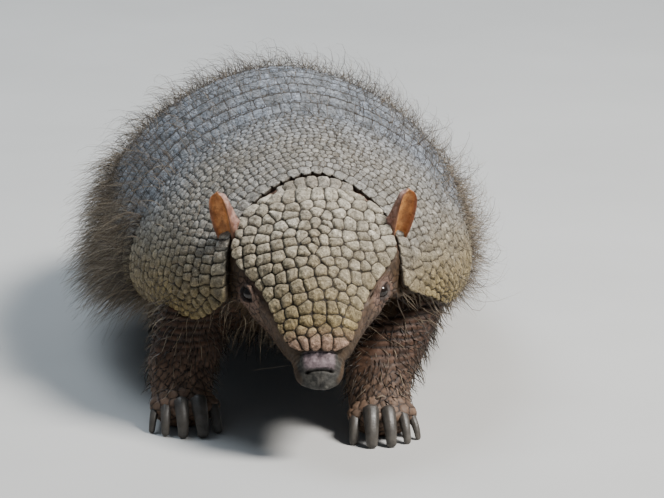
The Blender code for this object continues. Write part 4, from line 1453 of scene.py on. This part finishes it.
def strands(name, roots, aims, lengths, radii, uv, material, *, pale, seed, bend=(0, 0, -0.2),
            curl=0.06, segments=4):
    """Tufts: thin tapering three-sided meshes from their roots, kept in the space round the
    body. uv gives each one's place on the piece's OFBake map."""
    rng = np.random.default_rng(seed)
    n, t = len(roots), np.linspace(0, 1, segments + 1)
    aims = unit(aims)
    side = unit(np.cross(aims, rng.normal(size=(n, 3))))
    other = np.cross(aims, side)
    phase = rng.uniform(0, math.tau, (n, 1))
    sway = (curl * lengths * rng.uniform(0.3, 1.7, n))[:, None]
    run = aims[:, None] * (lengths[:, None] * t)[..., None]
    run = run + np.broadcast_to(bend, (n, 3))[:, None] * (lengths[:, None] * t ** 2)[..., None]
    run = run + side[:, None] * (sway * (np.sin(phase + 4.4 * t) - np.sin(phase)))[..., None]
    run = run + other[:, None] * (sway * 0.7 * (np.cos(phase + 3.6 * t) - np.cos(phase)))[..., None]
    above, below = np.maximum(HIGHEST - roots, 0.001), np.maximum(roots - LOWEST, 0.001)
    room = np.where(run > 0, above[:, None], below[:, None])
    over = np.maximum((np.abs(run) / room).max(axis=(1, 2)), 1)
    centre = roots[:, None] + run / over[:, None, None]
    taper = radii[:, None] * (1 - 0.86 * t ** 1.5)
    corner = math.tau * np.arange(3) / 3
    ring = (
        side[:, None, None] * (taper[..., None] * np.cos(corner))[..., None]
        + other[:, None, None] * (taper[..., None] * np.sin(corner))[..., None]
    )
    points = (centre[:, :, None] + ring).reshape(-1, 3)
    rows = segments + 1
    quads = [
        [k * 3 + c, k * 3 + d, k * 3 + 3 + d, k * 3 + 3 + c]
        for k in range(segments) for c, d in ((0, 1), (1, 2), (2, 0))
    ]
    first = np.arange(n) * rows * 3
    faces = (first[:, None, None] + np.array(quads)[None]).reshape(-1, 4).tolist()
    ends = np.array([[2, 1, 0], [segments * 3, segments * 3 + 1, segments * 3 + 2]])
    faces += (first[:, None, None] + ends[None]).reshape(-1, 3).tolist()
    tone = np.repeat(rng.uniform(-1, 1, n), rows * 3)
    light = np.repeat(np.clip(pale + rng.normal(0, 0.25, n), 0, 1), rows * 3)
    tip = np.tile(np.repeat(t, 3), n)
    thing = new_mesh(name, points, faces, {"tone": tone, "pale": light, "tip": tip})
    patch = np.stack([np.tile(corner / math.tau, rows), np.repeat(t, 3)], axis=1) * 0.003
    bake_map(thing, (np.repeat(uv, rows * 3, axis=0) + np.tile(patch, (n, 1))) * 0.99)
    wear(thing, material)
    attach(thing, "root")
    return thing


def hair_material():
    m = Nodes("hair", 0.45, 0.4)
    dark = m.mix(m.spread(m.value("tone"), -1, 1), (0.012, 0.008, 0.006), (0.050, 0.034, 0.024))
    pale = m.mix(m.spread(m.value("tone"), -1, 1), (0.215, 0.158, 0.100), (0.45, 0.37, 0.26))
    light = m.maths("ADD", m.value("pale"), m.maths("MULTIPLY", m.value("tip"), 0.35))
    face = m.mix(m.spread(light, 0.35, 1.0), dark, pale)
    streak = m.spread(m.noise(300, 2), 0.35, 0.65, 0.75, 1.0)
    m.colour(m.mix(streak, (0.02, 0.014, 0.010), face))
    return m


def shell_uv(points):
    """An unwrap of the carapace: round it by the angle, along it by Y."""
    around = np.arctan2(points[:, 0], np.maximum(points[:, 2] - 0.03, 0.001)) / math.pi
    return np.clip(np.stack([0.5 + around * 0.95, (points[:, 1] + 0.11) / 0.33], axis=1), 0, 0.996)


def make_shell_hair(material):
    """Wiry bristles from behind every band and all over the two shields."""
    rng = np.random.default_rng(200)

    def aims_at(place, ahead, lift, spread):
        middle = place * [0, 1, 0] + [0, 0, 0.045]
        middle[:, 1] = np.minimum(middle[:, 1], 0.12)
        outward = unit(place - middle)
        return unit(unit(ahead - place) + outward * lift[:, None] + rng.normal(0, spread, place.shape))

    def put(name, groups, seed):
        roots, aims, lengths, pale = (np.concatenate(rows) for rows in zip(*groups))
        radii = rng.uniform(0.00006, 0.00013, len(roots))
        strands(name, roots, aims, lengths, radii, shell_uv(roots), material, bend=(0, 0.08, -0.22),
                curl=0.24, segments=6, pale=pale, seed=seed)

    groups = []
    count = 420
    for i in range(BAND_COUNT + 1):
        share = rng.uniform(-1, 1, count)
        share = 0.985 * np.sign(share) * np.abs(share) ** 0.8
        around = around_of(share)
        rear = SCAPULAR_REAR + i * BAND_PITCH - SWEEP * around ** 2
        place = shell_points(rear - 0.0008, around, 0.0008)
        ahead = shell_points(rear + 0.004, around, 0.0008)
        aim = aims_at(place, ahead, rng.uniform(0.15, 1.0, count), 0.30)
        length = rng.uniform(0.006, 0.017, count) * (1 + 0.4 * np.abs(share))
        groups.append((place, aim, length, 0.10 + 0.35 * np.abs(share)))
    count = 620
    share, v = rng.uniform(-0.98, 0.98, count), rng.uniform(0.03, 0.97, count)
    place = scapular_curve(share, v)
    aim = aims_at(place, scapular_curve(share, v + 0.02), np.full(count, 0.4), 0.3)
    length = rng.uniform(0.004, 0.010, count) * (1 + 0.8 * np.abs(share) ** 3)
    groups.append((place, aim, length, np.full(count, 0.4)))
    put("bristles_bands", groups, 201)

    count = 4600
    share, v = rng.uniform(-0.98, 0.98, count), rng.uniform(0.02, 0.99, count)
    place = pelvic_curve(share, v)
    aim = aims_at(place, pelvic_curve(share, v + 0.02), rng.uniform(0.15, 0.9, count), 0.28)
    put("bristles_pelvic", [(place, aim, rng.uniform(0.007, 0.018, count), np.full(count, 0.18))], 202)


def make_rim_hair(material):
    """Long hair on both flanks: it stands out from under the shell's rim, from between the
    bands and from the sides of the pelvic shield."""
    rng = np.random.default_rng(210)
    for side, name in ((1, "left"), (-1, "right")):
        under, over = (1900, 1100) if side > 0 else (2700, 1500)
        y = rng.uniform(-0.068, 0.158, under)
        place = shell_points(y, side * rng.uniform(0.90, 1.0, under), 0.0032)
        place[:, 0] -= side * rng.uniform(0.0, 0.006, under)
        place[:, 2] -= rng.uniform(-0.001, 0.002, under)
        front = fades(y, -0.050, 0.020)
        least, most, hang = (0.35, 1.1, 0.95) if side > 0 else (0.5, 1.05, 0.62)
        aim = np.stack([
            side * rng.uniform(least, most, under) * (1 - 0.4 * front), rng.normal(0.20, 0.28, under),
            -rng.uniform(0.05, hang, under),
        ], axis=1)
        length = rng.uniform(0.015, 0.030, under) * (1 - 0.72 * front)
        share = rng.uniform(0.66, 0.99, over)
        row = rng.integers(0, BAND_COUNT + 1, over)
        around = around_of(share)
        rear = SCAPULAR_REAR + row * BAND_PITCH - SWEEP * around ** 2
        high = shell_points(rear, side * around, 0.0006)
        back = rng.random(over) < 0.35
        behind = pelvic_curve(side * share, rng.uniform(0.1, 0.95, over))
        high[back] = behind[back]
        rise = np.stack([
            side * rng.uniform(0.5, 1.1, over), rng.uniform(0.1, 0.9, over),
            rng.normal(-0.25, 0.30, over),
        ], axis=1)
        place, aim = np.concatenate([place, high]), np.concatenate([aim, rise])
        length = np.concatenate([length, rng.uniform(0.010, 0.022, over)])
        if side > 0:
            length *= 0.44 + 0.44 * rng.random(under + over) ** 1.6
        radii = rng.uniform(0.00007, 0.00013, under + over)
        thing = strands(
            f"hair_flank_{name}", place, aim, length, radii, shell_uv(place), material,
            bend=(side * 0.06, 0.10, -0.30), curl=0.08, segments=5, pale=0.52, seed=211 + side,
        )
        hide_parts(f"flank_hair_{name}")


def skin_uv(skin, points):
    """For each point the skin's own OFBake place under it, and the skin's normal there."""
    mesh = skin.data
    layer = mesh.uv_layers["OFBake"].data
    tree = tree_of(mesh)
    uv, normals = [], []
    for p in points:
        _, normal, index, _ = tree.find_nearest(Vector(p) + SHIFT)
        uv.append(tuple(layer[mesh.polygons[index].loop_start].uv))
        normals.append(tuple(normal))
    return np.clip(np.array(uv), 0, 0.996), np.array(normals)


def unwrap(thing):
    """The skin's own unwrap, as its OFBake map."""
    bpy.ops.object.select_all(action="DESELECT")
    bpy.context.view_layer.objects.active = thing
    thing.select_set(True)
    thing.data.uv_layers.new(name="OFBake")
    bpy.ops.object.mode_set(mode="EDIT")
    bpy.ops.mesh.select_all(action="SELECT")
    bpy.ops.uv.smart_project(angle_limit=math.radians(66), island_margin=0.002)
    bpy.ops.object.mode_set(mode="OBJECT")


def make_fur(skin, material):
    """Short coarse fur on the legs, throat and belly, and bristles on the face and tail."""
    rng = np.random.default_rng(220)

    def combed(along, normals, least, most, spread):
        """Lying along the skin, and standing off it a little, each hair its own way."""
        off = normals * rng.uniform(least, most, len(normals))[:, None]
        return unit(unit(along) + off + rng.normal(0, spread, normals.shape))

    points, _ = mesh_arrays(skin.data)
    points = points - np.array(SHIFT)
    _, y, z = points.T
    head = moved(points, HEAD_BACK)
    on_head = on_head_of(head)
    inside = (z > 0.062) | (on_head & (head[:, 2] > -0.010))
    foot = z < 0.016
    body = ~on_head & ~inside & ~foot & (y < 0.175)
    roots = scattered(points, body, 0.0021, seed=221)
    uv, normals = skin_uv(skin, roots)
    down = np.tile([0.15, 0.45, -0.9], (len(roots), 1))
    down[:, 0] *= np.sign(roots[:, 0])
    along = down - normals * np.einsum("ij,ij->i", down, normals)[:, None]
    aim = combed(along, normals, 0.25, 0.75, 0.18)
    under = between(normals[:, 2] * -1, 0.2, 0.8)
    leg = fades(roots[:, 2], 0.030, 0.050)
    length = rng.uniform(0.006, 0.012, len(roots)) * (1 - 0.40 * leg * (1 - under)) * (1 + 0.2 * under)
    radii = rng.uniform(0.00016, 0.00034, len(roots))
    strands("fur_underside", roots, aim, length, radii, uv, material, bend=(0, 0.1, -0.2), curl=0.08,
            pale=0.12 + 0.25 * (1 - leg), seed=222)

    face = on_head & (head[:, 2] < -0.012) & (head[:, 1] > -0.086)
    roots = scattered(points, face, 0.0023, seed=223)
    uv, normals = skin_uv(skin, roots)
    local = moved(roots, HEAD_BACK)
    rear = np.array(HEAD_FRAME.to_3x3() @ Vector((0, 0.8, -0.7)))
    aim = combed(rear - normals * (normals @ rear)[:, None], normals, 0.2, 0.8, 0.2)
    chin = between(-local[:, 2], 0.022, 0.034)
    snout = fades(local[:, 1], -0.080, -0.060)
    length = rng.uniform(0.003, 0.007, len(roots)) * (1 + 1.1 * chin) * (1 - 0.5 * snout)
    whisker = rng.random(len(roots)) < 0.05
    length[whisker] = rng.uniform(0.010, 0.018, whisker.sum())
    aim[whisker] += normals[whisker] * 0.6
    radii = rng.uniform(0.00007, 0.00013, len(roots)) * (1 - 0.5 * whisker)
    strands("fur_face", roots, aim, length, radii, uv, material, bend=(0, 0.1, -0.2),
            pale=0.18 + 0.5 * whisker, seed=224)

    tail = (y > 0.176) & (z > 0.002)
    roots = scattered(points, tail, 0.0034, seed=225)
    uv, normals = skin_uv(skin, roots)
    aim = unit(np.array([0.05, 1.0, -0.2]) + normals * 0.5 + rng.normal(0, 0.15, (len(roots), 3)))
    length, radii = (rng.uniform(*span, len(roots)) for span in ((0.004, 0.008), (0.00007, 0.00012)))
    strands("fur_tail", roots, aim, length, radii, uv, material, curl=0.05, segments=3, pale=0.4,
            seed=226)


# ---- Stage --------------------------------------------------------------------------------


def make_stage():
    bpy.ops.mesh.primitive_plane_add(size=12)
    floor = bpy.context.object
    floor.name = "floor"
    pale = Nodes("floor", 0.9, 0.1)
    pale.colour(pale.mottled(6, (0.46, 0.46, 0.45), (0.50, 0.50, 0.49), 3))
    floor.data.materials.append(pale.made)

    world = bpy.data.worlds.new("studio")
    world.use_nodes = True
    world.node_tree.nodes["Background"].inputs["Color"].default_value = (0.74, 0.86, 1.0, 1.0)
    world.node_tree.nodes["Background"].inputs["Strength"].default_value = 0.17
    bpy.context.scene.world = world

    def area(name, place, size, watts, colour):
        lamp = bpy.data.lights.new(name, "AREA")
        lamp.shape = "DISK"
        lamp.size = size
        lamp.energy = watts
        lamp.color = colour
        thing = bpy.data.objects.new(name, lamp)
        thing.location = place
        thing.rotation_euler = (Vector((0, 0, 0.05)) - Vector(place)).to_track_quat("-Z", "Y").to_euler()
        bpy.context.scene.collection.objects.link(thing)

    area("key", (0.86, -0.52, 1.32), 0.5, 58.0, (1.0, 0.965, 0.92))
    area("back", (-0.45, 0.80, 1.6), 0.9, 24.0, (0.80, 0.90, 1.0))


def make_camera():
    """Looks at the face from a little above, with a long lens."""
    azimuth, elevation, distance = math.radians(-7), math.radians(15), 1.6
    right = Vector((math.cos(azimuth), math.sin(azimuth), 0))
    back = Vector((
        math.sin(azimuth) * math.cos(elevation), -math.cos(azimuth) * math.cos(elevation),
        math.sin(elevation),
    ))
    up = back.cross(right)
    target = Vector((0, -0.070, 0.100)) + SHIFT + right * 0.007 - up * 0.027
    data = bpy.data.cameras.new("camera")
    data.lens = 213
    data.sensor_width = 36
    camera = bpy.data.objects.new("camera", data)
    camera.location = target + back * distance
    camera.rotation_mode = "QUATERNION"
    camera.rotation_quaternion = (-back).to_track_quat("-Z", "Y")
    data.clip_start, data.clip_end = 0.05, 50
    bpy.context.scene.collection.objects.link(camera)
    bpy.context.scene.camera = camera


make_camera()
make_stage()
ARMOUR = armour_material()
make_shields(ARMOUR)
make_head_shield(ARMOUR)
make_nuchal(ARMOUR)
SKIN = make_skin()
unwrap(SKIN)
EAR = ear_material()
for SIDE, NAME in ((1, "left"), (-1, "right")):
    make_eye(SIDE, NAME)
    make_ear(SIDE, NAME, EAR)
make_claws()
HAIR = hair_material()
make_shell_hair(HAIR)
make_rim_hair(HAIR)
make_fur(SKIN, HAIR)
